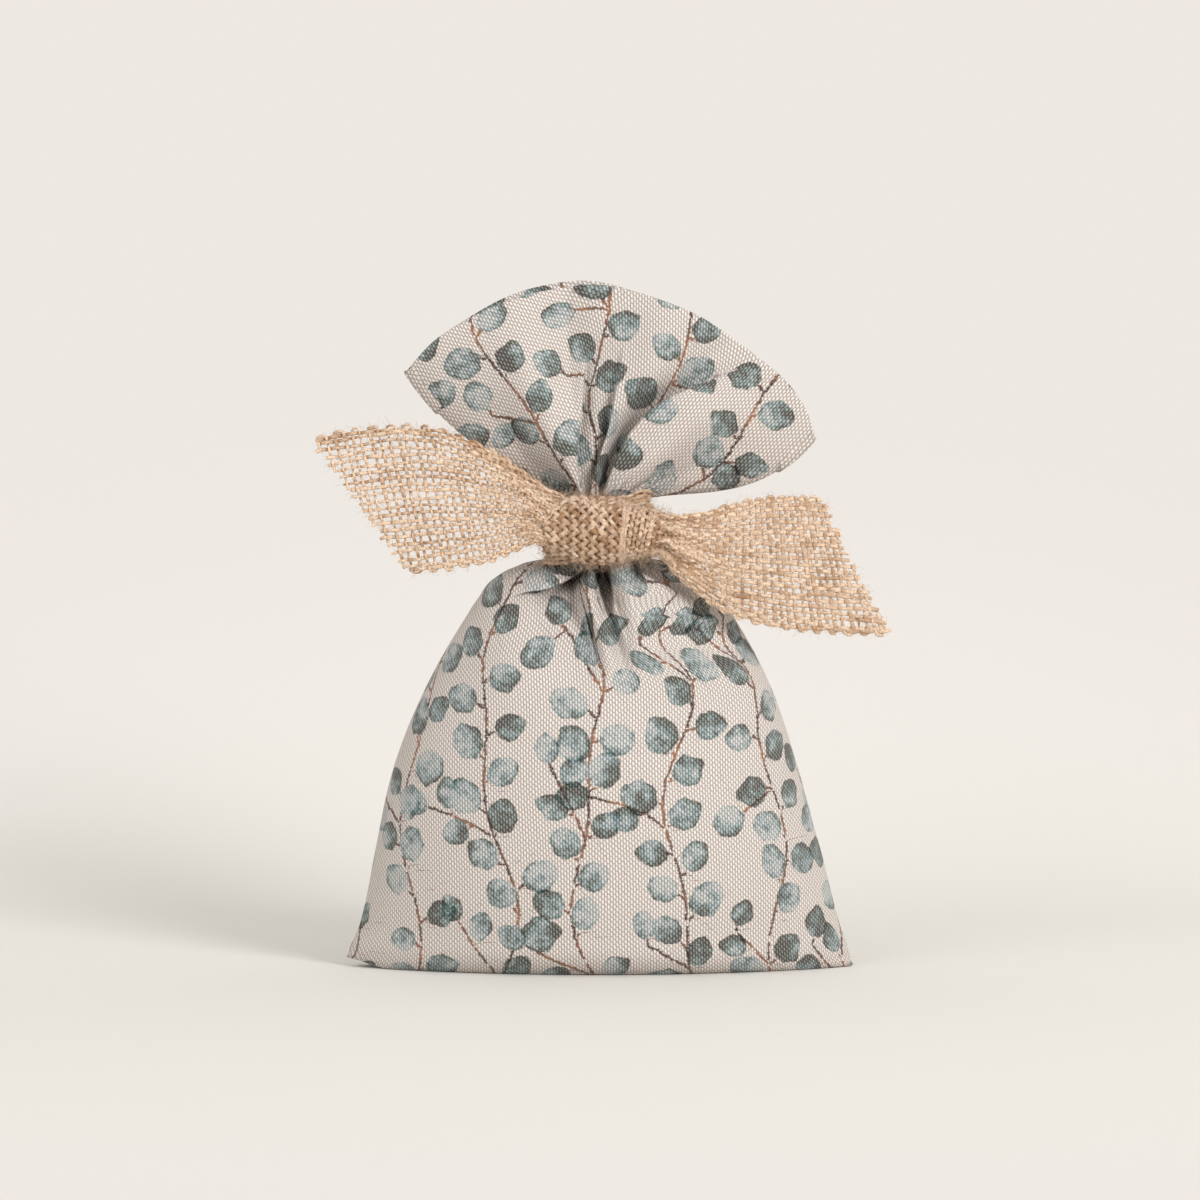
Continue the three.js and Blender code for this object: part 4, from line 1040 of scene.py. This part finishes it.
# %% Jute material
def jute_material(name, light, dark, deep):
    material, tree = new_material(name)
    place = add_node(tree, "ShaderNodeTexCoord").outputs["Object"]
    # The tint holds the yarn's own drift of tone and also painted light: paler tails, a darker knot, paler
    # crowns and browner hollows
    tint = add_node(tree, "ShaderNodeAttribute", {"attribute_name": "tint"}).outputs["Fac"]
    patches = add_node(tree, "ShaderNodeTexNoise", {}, Vector=place, Scale=160.0, Detail=3.0)
    fibres = add_node(tree, "ShaderNodeTexNoise", {}, Vector=place, Scale=1900.0, Detail=3.0, Roughness=0.65)
    blend = add_node(tree, "ShaderNodeMath", {"operation": "MULTIPLY_ADD"}, _0=tint, _1=0.55, _2=-0.22)
    mixed = add_node(tree, "ShaderNodeMath", {"operation": "ADD"}, _0=blend, _1=patches)
    ramp = add_node(tree, "ShaderNodeValToRGB", {}, Fac=mixed)
    ramp.color_ramp.elements[0].position = 0.25
    ramp.color_ramp.elements[0].color = linear(dark)
    ramp.color_ramp.elements[1].position = 0.8
    ramp.color_ramp.elements[1].color = linear(light)
    streak = add_node(tree, "ShaderNodeMapRange", {"clamp": True}, Value=fibres, From_Min=0.38,
                      From_Max=0.58, To_Min=0.55, To_Max=0.0)
    colour = add_node(tree, "ShaderNodeMix", {"data_type": "RGBA"}, _0=streak, _6=ramp, _7=linear(deep))
    matt_surface(tree, colour.outputs[2], fibres, relief=0.15, strength=0.6, roughness=0.85, sheen=0.15,
                 gloss=0.15)
    return material


jute_yarn = jute_material("natural_jute_yarn", "#e8ceb4", "#ab8462", "#80593d")
# The cores' jute is darker than the yarn: painted shade inside the knot and the band
jute_shade = jute_material("jute_inner_layers_painted_shade", "#a17c56", "#7a593a", "#523826")

# %% [markdown]
# A woven strip is described by a surface: a function from the place along and across the ribbon to a point
# in space. The threads wander a little, as the real ones do, the cut end is uneven, and some lengthwise
# threads have slipped free of the last crossing ones and stick out.

# %% Laying threads on a surface
YARN_RADIUS = 0.5
YARN_STEP = 0.62
# how much paler a crown and browner a hollow is drawn: painted highlight and painted shade of the weave
CROWN_PAINTED_LIGHT = 0.38
RIBBON_WIDTH = 40
WEFT_GAP = 2.6


class Threads:
    """Collects threads as lines of points, each with its radius and a tint, which holds painted light besides
    the yarn's own tone.
    """

    # A piece's yarn can be drawn lighter or darker as a whole: painted light in the tails, painted shade in
    # the knot
    def __init__(self, seed, painted_light=0.0):
        self.random = np.random.default_rng(seed)
        self.painted_light = painted_light
        self.points, self.normals, self.edges, self.radius, self.tint = [], [], [], [], []
        self.count = 0

    def wander(self, samples, size):
        """A slow random drift along a thread."""
        knots = self.random.normal(0, size, max(3, samples // 9))
        return np.interp(np.linspace(0, 1, samples), np.linspace(0, 1, len(knots)), knots)

    def lay(self, line, radius=YARN_RADIUS, crown=0):
        """Adds a thread from its points and the cloth's normals there. Crowns get a painted highlight,
        hollows painted shade.
        """
        points, normals = line
        samples = len(points)
        if samples < 3:
            return
        self.points.append(points)
        self.normals.append(normals)
        first = self.count
        self.edges += [(first + i, first + i + 1) for i in range(samples - 1)]
        swell = 1 + np.clip(self.wander(samples, 0.2), -0.3, 0.5)
        self.radius.append(radius * swell)
        # The tint adds the yarn's own tone to painted light: a whole piece's, and the crown's highlight or
        # hollow's shade
        self.tint.append(self.painted_light + self.random.random() + self.wander(samples, 0.15) + CROWN_PAINTED_LIGHT * crown)
        self.count += samples

    def piece(self, name, fibre_length=4.2, fibres=0.42, sides=6):
        """The finished yarn as a plain mesh object. fibres is a count per square millimetre of yarn."""
        mesh = bpy.data.meshes.new(name)
        mesh.from_pydata((np.concatenate(self.points) * MM).tolist(), self.edges, [])
        for attribute, data in (("yarn_radius", np.concatenate(self.radius) * MM),
                                ("tint", np.concatenate(self.tint))):
            store = mesh.attributes.new(attribute, "FLOAT", "POINT")
            store.data.foreach_set("value", data.astype(np.float32))
        for attribute, data in (("axis", np.concatenate(self.points) * MM),
                                ("through", np.concatenate(self.normals))):
            store = mesh.attributes.new(attribute, "FLOAT_VECTOR", "POINT")
            store.data.foreach_set("vector", data.astype(np.float32).ravel())
        thing = new_object(name, mesh)
        spin = thing.modifiers.new("yarn", "NODES")
        spin.node_group = yarn_nodes
        inputs = {"Sides": sides, "Fibres Per Area": fibres / MM ** 2, "Fibre Length": fibre_length * MM,
                  "Fibre Radius": 0.036 * MM, "Seed": 5, "Yarn": jute_yarn}
        for item in yarn_nodes.interface.items_tree:
            if item.in_out == "INPUT" and item.name in inputs:
                spin[item.identifier] = inputs[item.name]
        thing = plain_mesh(thing)
        for attribute in ("axis", "through", "yarn_radius"):
            if attribute in thing.data.attributes:
                thing.data.attributes.remove(thing.data.attributes[attribute])
        return thing


yarn_nodes = yarn_tree()


def on_surface(surface, along, across, lift):
    """Points of a surface, raised by lift along its outer side, and the surface's normals there."""
    here = surface(along, across)
    tiny = 1e-3
    du = surface(along + tiny, across) - here
    dv = surface(along, across + tiny) - here
    normal = np.cross(du, dv)
    normal /= np.maximum(np.linalg.norm(normal, axis=-1, keepdims=True), 1e-9)
    return here + normal * np.asarray(lift)[..., None], normal


def weave_strip(threads, surface, length, fray, cut, radius, warps, gap):
    """Plain weave up to a slanting cut, given as its places along at both edges, with ends loose by fray."""
    random = threads.random
    wefts = int(length / gap)
    bow = radius * 0.9
    # The outer two threads at each selvedge lie close together
    places = np.concatenate([[0.008], np.linspace(0.036, 0.964, warps - 2), [0.992]])
    for i, place in enumerate(places):
        stop = np.interp(place, (0, 1), cut)
        loose = fray * random.random() ** 1.6 / length
        along = np.arange(0, stop + random.uniform(-0.012, 0.006) + loose, YARN_STEP / length)
        across = place + threads.wander(len(along), 0.14 / warps)
        past = np.clip(along - stop, 0, None) * length
        across = across + past * random.normal(0, 0.006)
        lift = bow * np.sin(math.pi * (along * wefts + i)) + past * random.normal(0, 0.35)
        # The lift also sets the thread's painted crown highlight and hollow shade
        threads.lay(on_surface(surface, along, across, lift), radius, np.clip(lift / bow, -1, 1))
    # One weft thread goes to and fro, and turns round the outermost warp at each selvedge
    across = np.arange(-0.012, 1.012, YARN_STEP / RIBBON_WIDTH)
    rows_along, rows_across, rows_lift = [], [], []
    for j in range(wefts):
        place = (j + 0.5) / wefts
        there = across if j % 2 == 0 else across[::-1]
        thread = np.interp(there, places, np.arange(warps))
        lift = -bow * np.sin(math.pi * (thread + j + 0.5))
        slip = random.normal(0, 0.07 / wefts) + threads.wander(len(there), 0.1 / wefts)
        rows_along.append(place + slip)
        rows_across.append(there)
        rows_lift.append(lift)
        outer = there[-1] + math.copysign(random.uniform(0.002, 0.018), there[-1] - 0.5)
        rows_along.append(np.array([place + 0.3 / wefts, place + 0.7 / wefts]))
        rows_across.append(np.array([outer, outer]))
        rows_lift.append(np.zeros(2))
    along, across, lift = (np.concatenate(part) for part in (rows_along, rows_across, rows_lift))
    # The cut goes across the last weft threads and leaves a piece of each
    kept = along < np.interp(across, (0, 1), cut) + 0.2 / wefts
    for run in np.split(np.arange(len(along)), np.flatnonzero(np.diff(kept)) + 1):
        if kept[run[0]]:
            line = on_surface(surface, along[run], across[run], lift[run])
            # The weft's lift sets its painted crown highlight and hollow shade too
            threads.lay(line, radius * 0.88, lift[run] / bow)


# %% [markdown]
# Each tail is bunched at the knot and opens to the ribbon's full width. Its top and bottom edges are drawn
# as the photograph shows them, seen from the front, and the strip is stretched between the two, bowed
# towards the viewer, with lengthwise pleats that smooth out away from the knot. Both ends were cut aslant,
# so one edge of each goes on past the cut in the table, and the threads stop short of it.

# %% The tails
TAIL_LEFT_LENGTH, TAIL_RIGHT_LENGTH = 82, 84
TAIL_LEFT_CUT = (1, 0.78)
TAIL_RIGHT_CUT = (0.86, 1)
KNOT_Y = (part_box("ribbon_knot")[0][1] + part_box("ribbon_knot")[1][1]) / 2 / MM

# place along, top edge x and z, bottom edge x and z, depth behind the knot's middle
left_tail_edges = [
    (0, -9, 140.6, -8, 124, 0.6),
    (0.096, -16.4, 143.8, -14.6, 126.4, -1.4),
    (0.188, -22.5, 148.4, -19, 127.6, -2.4),
    (0.288, -29.5, 153, -24.4, 126, -2.4),
    (0.407, -38, 157.2, -31, 123.2, -1.6),
    (0.539, -48, 160.6, -39.4, 121.4, -0.6),
    (0.681, -59.5, 161.5, -49.6, 120, 0.8),
    (0.86, -74, 160, -63.4, 118.6, 2),
    (1, -85.2, 157.9, -74.4, 117.6, 3),
]
right_tail_edges = [
    (0, 12, 135.4, 12, 124.5, 0.6),
    (0.083, 19.4, 135.4, 18.4, 123, -1.6),
    (0.163, 25, 135.4, 22.6, 118.2, -3),
    (0.256, 31, 136, 28.4, 113.4, -3),
    (0.388, 38.6, 138.2, 37, 107.4, -2.6),
    (0.52, 46.4, 139.8, 47.4, 104.4, -1.6),
    (0.68, 55.6, 140.4, 60, 102.4, 0),
    (0.86, 65.5, 140.2, 74.2, 101.2, 1.6),
    (1, 73.6, 140, 85.4, 100.6, 3),
]


def tail_surface(edges, pleats):
    """The surface of a tail, with pleats of some mm at the knot. Past its end it runs on straight."""
    def surface(along, across):
        along, across = np.asarray(along, float), np.asarray(across, float)
        rows = smooth_table(edges, along)
        past = np.clip(along - 1, 0, None)[..., None]
        last, before = (smooth_table(edges, share * np.ones_like(along)) for share in (1.0, 0.95))
        rows = rows + past * (last - before) / 0.05
        x = rows[..., 0] + (rows[..., 2] - rows[..., 0]) * across
        z = rows[..., 1] + (rows[..., 3] - rows[..., 1]) * across
        bunch = 1 - smoothstep(0.02, 0.5, along)
        bow = 2.2 * np.sin(math.pi * np.clip(across, 0, 1)) * (1 - 0.5 * bunch)
        pleat = pleats * bunch * np.cos(2 * math.pi * (3.2 * across + 0.15))
        roll = 1.1 * np.sin(2 * math.pi * (0.9 * along + 0.7 * across)) * smoothstep(0.2, 0.7, along)
        y = KNOT_Y + rows[..., 4] - bow - pleat - roll
        return np.stack([x, y, z], axis=-1)
    return surface


# The tails' yarn is drawn paler: painted light on and through the open weave
tail_left = Threads(11, 0.32)
weave_strip(tail_left, tail_surface(left_tail_edges, 1.2), TAIL_LEFT_LENGTH, fray=2.4, cut=TAIL_LEFT_CUT,
            radius=0.43, warps=21, gap=WEFT_GAP)
jute_tail_left = tail_left.piece("jute_tail_left", fibre_length=3.6, fibres=0.6)
tail_right = Threads(12, 0.68)
weave_strip(tail_right, tail_surface(right_tail_edges, 1.4), TAIL_RIGHT_LENGTH, fray=2.6,
            cut=TAIL_RIGHT_CUT, radius=0.49, warps=23, gap=2.45)
jute_tail_right = tail_right.piece("jute_tail_right", fibre_length=3.6, fibres=0.45)
for tail in (jute_tail_left, jute_tail_right):
    print(tail.name, "has", len(tail.data.polygons), "faces")

# %% [markdown]
# The knot is two turns of ribbon side by side. On the left one the weave runs at 45 degrees, on the right
# one upright, because the ribbon folds over between them. The surface is a rounded bar; its threads are
# straight lines in the bar's own unrolled coordinates. A closed core behind them stands for the layers
# inside the knot, so no light comes through; its jute is drawn darker than the yarn, as painted shade.

# %% The knot
KNOT_X, KNOT_Z = 2.4, 131.2
KNOT_HALF, KNOT_DEPTH, KNOT_HEIGHT = 18.2, 8.8, 9.2
KNOT_EDGE = 6.4  # where the left turn's edge lies over the right turn
KNOT_BACK = -17.6
KNOT_REACH = 34  # half the length of its longest thread


def knot_surface(x, around):
    """Points of the knot: x along it and around it from the middle of its front, both in mm."""
    x = np.asarray(x, float)
    place = np.clip((x - KNOT_X) / KNOT_HALF, -1, 1)
    full = 0.6 + 0.4 * np.sqrt(1 - place ** 2) - 0.17 * smoothstep(0.2, 0.5, place)
    full = full + 0.05 * np.exp(-(((place + 0.4) / 0.4) ** 2))
    full = full - 0.06 * np.exp(-(((x - KNOT_EDGE - 0.9) / 1.3) ** 2))
    angle = np.asarray(around, float) / KNOT_HEIGHT
    lump = 1 + 0.03 * np.sin(3 * angle + 2.4 * place) + 0.025 * np.sin(5 * angle - 4 * place)
    y = KNOT_BACK - KNOT_DEPTH * full * lump * np.cos(angle)
    z = KNOT_Z - 0.9 * place + KNOT_HEIGHT * full * lump * np.sin(angle)
    return np.stack([x + 0 * angle, y, z], axis=-1)


def straight_threads(threads, start, direction, spacing, low, high, bow, radius):
    """Parallel threads across a rectangle of the knot's unrolled surface."""
    direction = np.array(direction) / np.hypot(*direction)
    side = np.array([-direction[1], direction[0]])
    count = int(2 * KNOT_REACH / spacing)
    for i in range(-count, count + 1):
        along = np.arange(-KNOT_REACH, KNOT_REACH, YARN_STEP)
        place = i * spacing + start + threads.wander(len(along), 0.13 * spacing)
        x = direction[0] * along + side[0] * place
        around = direction[1] * along + side[1] * place
        inside = (x > low[0]) & (x < high[0]) & (around > low[1]) & (around < high[1])
        x, around, along = x[inside], around[inside], along[inside]
        if len(x) > 4:
            lift = bow * np.sin(math.pi * (along / spacing + i))
            # The lift also sets the thread's painted crown highlight and hollow shade
            threads.lay(on_surface(knot_surface, x, around, lift), radius, lift / bow)


def closed_tube(rings):
    """A closed mesh from rings of points, with a middle point at both ends."""
    rings = np.asarray(rings)
    rows, count = rings.shape[:2]
    points = np.concatenate([rings.reshape(-1, 3), rings[:1].mean(axis=1), rings[-1:].mean(axis=1)])
    faces = []
    for j in range(rows - 1):
        for i in range(count):
            n = (i + 1) % count
            faces.append((j * count + i, j * count + n, (j + 1) * count + n, (j + 1) * count + i))
    for i in range(count):
        n = (i + 1) % count
        faces.append((n, i, rows * count))
        faces.append(((rows - 1) * count + i, (rows - 1) * count + n, rows * count + 1))
    return points, faces


def joined(name, *things):
    """Joins finished pieces into one."""
    with bpy.context.temp_override(active_object=things[0], selected_editable_objects=list(things)):
        bpy.ops.object.join()
    things[0].name = name
    return things[0]


def core_object(name, rings, material):
    points, faces = closed_tube(rings)
    return new_object(name, smooth_mesh(name, (points * MM).tolist(), faces), material)


# The knot's yarn is drawn darker: painted shade among its layers
knot = Threads(13, -0.19)
half_turn = 2.0 * KNOT_HEIGHT
low_x, high_x = KNOT_X - KNOT_HALF, KNOT_X + KNOT_HALF
for direction in ((1, 1), (1, -1)):
    straight_threads(knot, 0.4, direction, 1.95, (low_x, -half_turn), (KNOT_EDGE, half_turn), bow=0.5,
                     radius=0.56)
for direction, spacing, clear, radius in (((0.16, 1), 1.5, 0.8, 0.52), ((1, -0.12), 2.3, 0.6, 0.44)):
    straight_threads(knot, 0.3, direction, spacing, (KNOT_EDGE + clear, -half_turn), (high_x, half_turn),
                     bow=0.42, radius=radius)
# Two threads of the fold's edge, where the left turn lies over the right one
for shift, lift in ((0, 0.5), (0.9, 0.15)):
    around = np.arange(-half_turn, half_turn, YARN_STEP)
    x = KNOT_EDGE + shift + 0.5 * np.sin(around / 5)
    knot.lay(on_surface(knot_surface, x, around, lift + 0 * around), 0.5)
knot_yarn = knot.piece("jute_knot_yarn", fibre_length=4.6, fibres=0.9)
angles = np.linspace(0, 2 * math.pi, 48, endpoint=False)
core_rings = []
for x in np.linspace(low_x + 0.6, high_x - 0.6, 30):
    ring = knot_surface(x + 0 * angles, angles * KNOT_HEIGHT)
    middle = ring.mean(axis=0)
    core_rings.append(middle + (ring - middle) * 0.93)
knot_core = core_object("jute_knot_core", core_rings, jute_shade)
jute_knot = joined("jute_knot", knot_yarn, knot_core)
print(jute_knot.name, "has", len(jute_knot.data.polygons), "faces")

# %% [markdown]
# Round the neck the ribbon is squeezed to half its width, so it lies in lengthwise folds. It leaves the
# circle at the front, where its two ends come forward into the knot: low on the left, high on the right.

# %% The turn round the neck
BAND_LOW, BAND_HIGH = 122.4, 141.2
BAND_RADIUS, BAND_INSIDE = 13.0, 11
BAND_THREADS, BAND_BOW = 17, 0.4
band_flares = ((math.radians(208), 5.2, -1.2), (math.radians(-38), 4.6, 2.4))


def band_surface(around, up):
    """Points of the band: around it as an angle, and up as a share of its height."""
    around, up = np.asarray(around, float), np.asarray(up, float)
    radius = BAND_RADIUS + 0.75 * np.cos(2 * math.pi * (3 * up + 0.15 * np.sin(around * 2)))
    z = BAND_LOW + (BAND_HIGH - BAND_LOW) * up + 0.7 * np.sin(around)
    for angle, reach, rise in band_flares:
        off = (around - angle + math.pi) % (2 * math.pi) - math.pi
        bell = np.exp(-((off / 0.42) ** 2))
        radius = radius + reach * bell
        z = z + rise * bell
    return np.stack([radius * np.cos(around), radius * np.sin(around), z], axis=-1)


band = Threads(14)
for i in range(BAND_THREADS):
    around = np.arange(0, 2 * math.pi + 0.02, YARN_STEP / BAND_RADIUS)
    up = (i + 0.5) / BAND_THREADS + 0.1 / BAND_THREADS * np.sin(around * 3 + i)
    lift = BAND_BOW * np.sin(around * BAND_RADIUS / WEFT_GAP * math.pi + i * math.pi)
    band.lay(on_surface(band_surface, around, up, lift), YARN_RADIUS * 0.94)
for j in range(int(2 * math.pi * BAND_RADIUS / WEFT_GAP)):
    up = np.arange(-0.01, 1.01, 0.8 * YARN_STEP / (BAND_HIGH - BAND_LOW))
    around = j * WEFT_GAP / BAND_RADIUS + 0.02 * np.sin(up * 9 + j) + 0 * up
    lift = -BAND_BOW * np.sin(math.pi * (up * BAND_THREADS + j))
    band.lay(on_surface(band_surface, around, up, lift), YARN_RADIUS * 0.86)
band_yarn = band.piece("jute_band_yarn")
loop = np.linspace(0, 2 * math.pi, 72, endpoint=False)
inner = np.stack([BAND_INSIDE * np.cos(loop), BAND_INSIDE * np.sin(loop), 0 * loop], axis=-1)
heights = np.linspace(0.02, 0.98, 14)
outer_rings = [band_surface(loop, h) * [0.95, 0.95, 1] for h in heights]
core_rings = [inner + [0, 0, BAND_LOW + 2], *outer_rings, inner + [0, 0, BAND_HIGH - 1.5]]
# The band's core has the darker jute too: painted shade inside the turn
band_core = core_object("jute_band_core", core_rings, jute_shade)
jute_band = joined("jute_band", band_yarn, band_core)
print(jute_band.name, "has", len(jute_band.data.polygons), "faces")

# %% [markdown]
# The knot and the band stay with the bag. All four are one strip 40 mm wide: its lengths in the tails, in the
# knot and round the neck are given apart, because each is a piece of its own.

# %% Ribbon on its bodies
for tail, body, start, end in ((jute_tail_left, "tail_left", -0.012, -0.026),
                               (jute_tail_right, "tail_right", 0.014, 0.032)):
    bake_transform(tail)
for piece, node in ((jute_tail_left, "ribbon_tail_left"), (jute_tail_right, "ribbon_tail_right"),
                    (jute_knot, "ribbon_knot"), (jute_band, "ribbon_neck_band")):
    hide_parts(node)
for piece in (jute_knot, jute_band):
    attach(piece, "bag")

# %% [markdown]
# ## Inside the bag
#
# The seams' threads, the pouch and its fill stay hidden behind the cloth, so their CAD solids are kept as
# they are. They still get their own finishes: spun cotton thread, a white spunbonded nonwoven with its
# crossing filaments and bonded dots, and granules told apart by their own cells.

# %% Finishes of the hidden pieces
def hidden_material(name, light, dark, height, scale, roughness, relief):
    """A plain finish from one height field: its low parts are dark with painted shade and its high parts
    light.
    """
    material, tree = new_material(name)
    field = height(tree, add_node(tree, "ShaderNodeTexCoord").outputs["Object"], scale)
    colour = add_node(tree, "ShaderNodeMix", {"data_type": "RGBA"}, _0=field, _6=linear(dark),
                      _7=linear(light))
    matt_surface(tree, colour.outputs[2], field, relief, strength=0.8, roughness=roughness, sheen=0.0,
                 gloss=0.2)
    return material


def twist_field(tree, place, scale):
    wave = add_node(tree, "ShaderNodeTexWave", {"bands_direction": "DIAGONAL"}, Vector=place, Scale=scale,
                    Distortion=1.5, Detail=2.0)
    return wave.outputs[1]


def filament_field(tree, place, scale):
    filaments = add_node(tree, "ShaderNodeTexNoise", {"noise_type": "RIDGED_MULTIFRACTAL"}, Vector=place,
                         Scale=scale, Detail=4.0)
    dots = add_node(tree, "ShaderNodeTexVoronoi", {}, Vector=place, Scale=scale * 0.5, Randomness=0.0)
    bonded = add_node(tree, "ShaderNodeMapRange", {"clamp": True}, Value=dots.outputs["Distance"],
                      From_Min=0.2, From_Max=0.34, To_Min=0.0, To_Max=1.0)
    both = add_node(tree, "ShaderNodeMath", {"operation": "MULTIPLY", "use_clamp": True},
                    _0=filaments, _1=bonded)
    return both.outputs[0]


def granule_field(tree, place, scale):
    cells = add_node(tree, "ShaderNodeTexVoronoi", {}, Vector=place, Scale=scale)
    round_top = add_node(tree, "ShaderNodeMath", {"operation": "SUBTRACT", "use_clamp": True}, _0=1.0,
                         _1=cells.outputs["Distance"])
    return round_top.outputs[0]


sewing_thread = hidden_material("spun_cotton_thread", "#e0d6c6", "#a89a86", twist_field, 900.0, 0.8, 0.08)
nonwoven = hidden_material("white_spunbond_nonwoven", "#f0efe9", "#c9c6bc", filament_field, 900.0, 0.7, 0.06)
granules = hidden_material("scented_wood_granules", "#a67c4c", "#4d3216", granule_field, 420.0, 0.75, 0.9)
for node, material in (("needle_thread", sewing_thread), ("bobbin_thread", sewing_thread),
                       ("pouch_front", nonwoven), ("pouch_back", nonwoven), ("scented_granules", granules)):
    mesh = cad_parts[node].data
    if not mesh.materials:
        mesh.materials.append(material)
    for slot in range(len(mesh.materials)):
        mesh.materials[slot] = material
    print(node, "has the finish", material.name)

# %% [markdown]
# ## Floor, backdrop and light
#
# The photograph is a plain studio shot: a cream sweep of paper, a large soft light from the upper right,
# a reflector at the left, and a bright room that fills the shadows. The sweep's wall stands 0.76 m behind
# the sachet, so a camera beyond it sees paper only.

# %% Studio
BACKGROUND = "#eee8e2"
AIMED_AT = (0, 0, 0.08)


def studio():
    """A paper sweep. Away from the object its plain colour is seen, so the frame is even to the edges."""
    material, tree = new_material("cream_paper")
    paper = add_node(tree, "ShaderNodeBsdfDiffuse", {}, Color=linear("#e4e1db"), Roughness=0.0)
    plain = add_node(tree, "ShaderNodeEmission", {}, Color=linear(BACKGROUND), Strength=1.0)
    place = add_node(tree, "ShaderNodeTexCoord").outputs["Object"]
    away = add_node(tree, "ShaderNodeVectorMath", {"operation": "LENGTH"}, _0=place)
    far = add_node(tree, "ShaderNodeMapRange", {"clamp": True, "interpolation_type": "SMOOTHSTEP"},
                   Value=away.outputs["Value"], From_Min=0.22, From_Max=0.62, To_Min=0.0, To_Max=1.0)
    rays = add_node(tree, "ShaderNodeLightPath").outputs
    seen = add_node(tree, "ShaderNodeMath", {"operation": "MAXIMUM"}, _0=rays["Is Camera Ray"],
                    _1=rays["Is Glossy Ray"])
    seen = add_node(tree, "ShaderNodeMath", {"operation": "MAXIMUM"}, _0=seen, _1=rays["Is Transmission Ray"])
    share = add_node(tree, "ShaderNodeMath", {"operation": "MULTIPLY"}, _0=seen, _1=far)
    both = add_node(tree, "ShaderNodeMixShader", {}, _0=share, _1=paper, _2=plain)
    add_node(tree, "ShaderNodeOutputMaterial", {}, Surface=both)
    half, near, turn_at, radius, top = 4.0, -3.0, 0.16, 0.6, 3.5
    profile = [(near, 0.0)]
    for i in range(17):
        angle = i / 16 * math.pi / 2
        profile.append((turn_at + radius * math.sin(angle), radius * (1 - math.cos(angle))))
    profile.append((turn_at + radius, top))
    points = [(x, y, z) for y, z in profile for x in (-half, half)]
    faces = [(2 * i, 2 * i + 1, 2 * i + 3, 2 * i + 2) for i in range(len(profile) - 1)]
    sweep = new_object("paper_sweep", smooth_mesh("paper_sweep", points, faces), material)


def soft_light(name, place, size, watts):
    """A round white lamp, aimed at the sachet's middle."""
    data = bpy.data.lights.new(name, "AREA")
    data.shape = "DISK"
    data.size = size
    data.energy = watts
    light = bpy.data.objects.new(name, data)
    bpy.context.collection.objects.link(light)
    light.location = place
    light.rotation_euler = (Vector(AIMED_AT) - Vector(place)).to_track_quat("-Z", "Y").to_euler()


studio()
soft_light("window_right", (2.1, -3.0, 1.45), size=1.5, watts=104)
soft_light("reflector_left", (-2.4, -3.2, 1.2), size=3.0, watts=43)
world = bpy.data.worlds.new("bright_room")
world.use_nodes = True
world.node_tree.nodes["Background"].inputs[0].default_value = linear("#fafbfb")
world.node_tree.nodes["Background"].inputs[1].default_value = 0.65
bpy.context.scene.world = world
bpy.context.scene.view_settings.view_transform = "Standard"
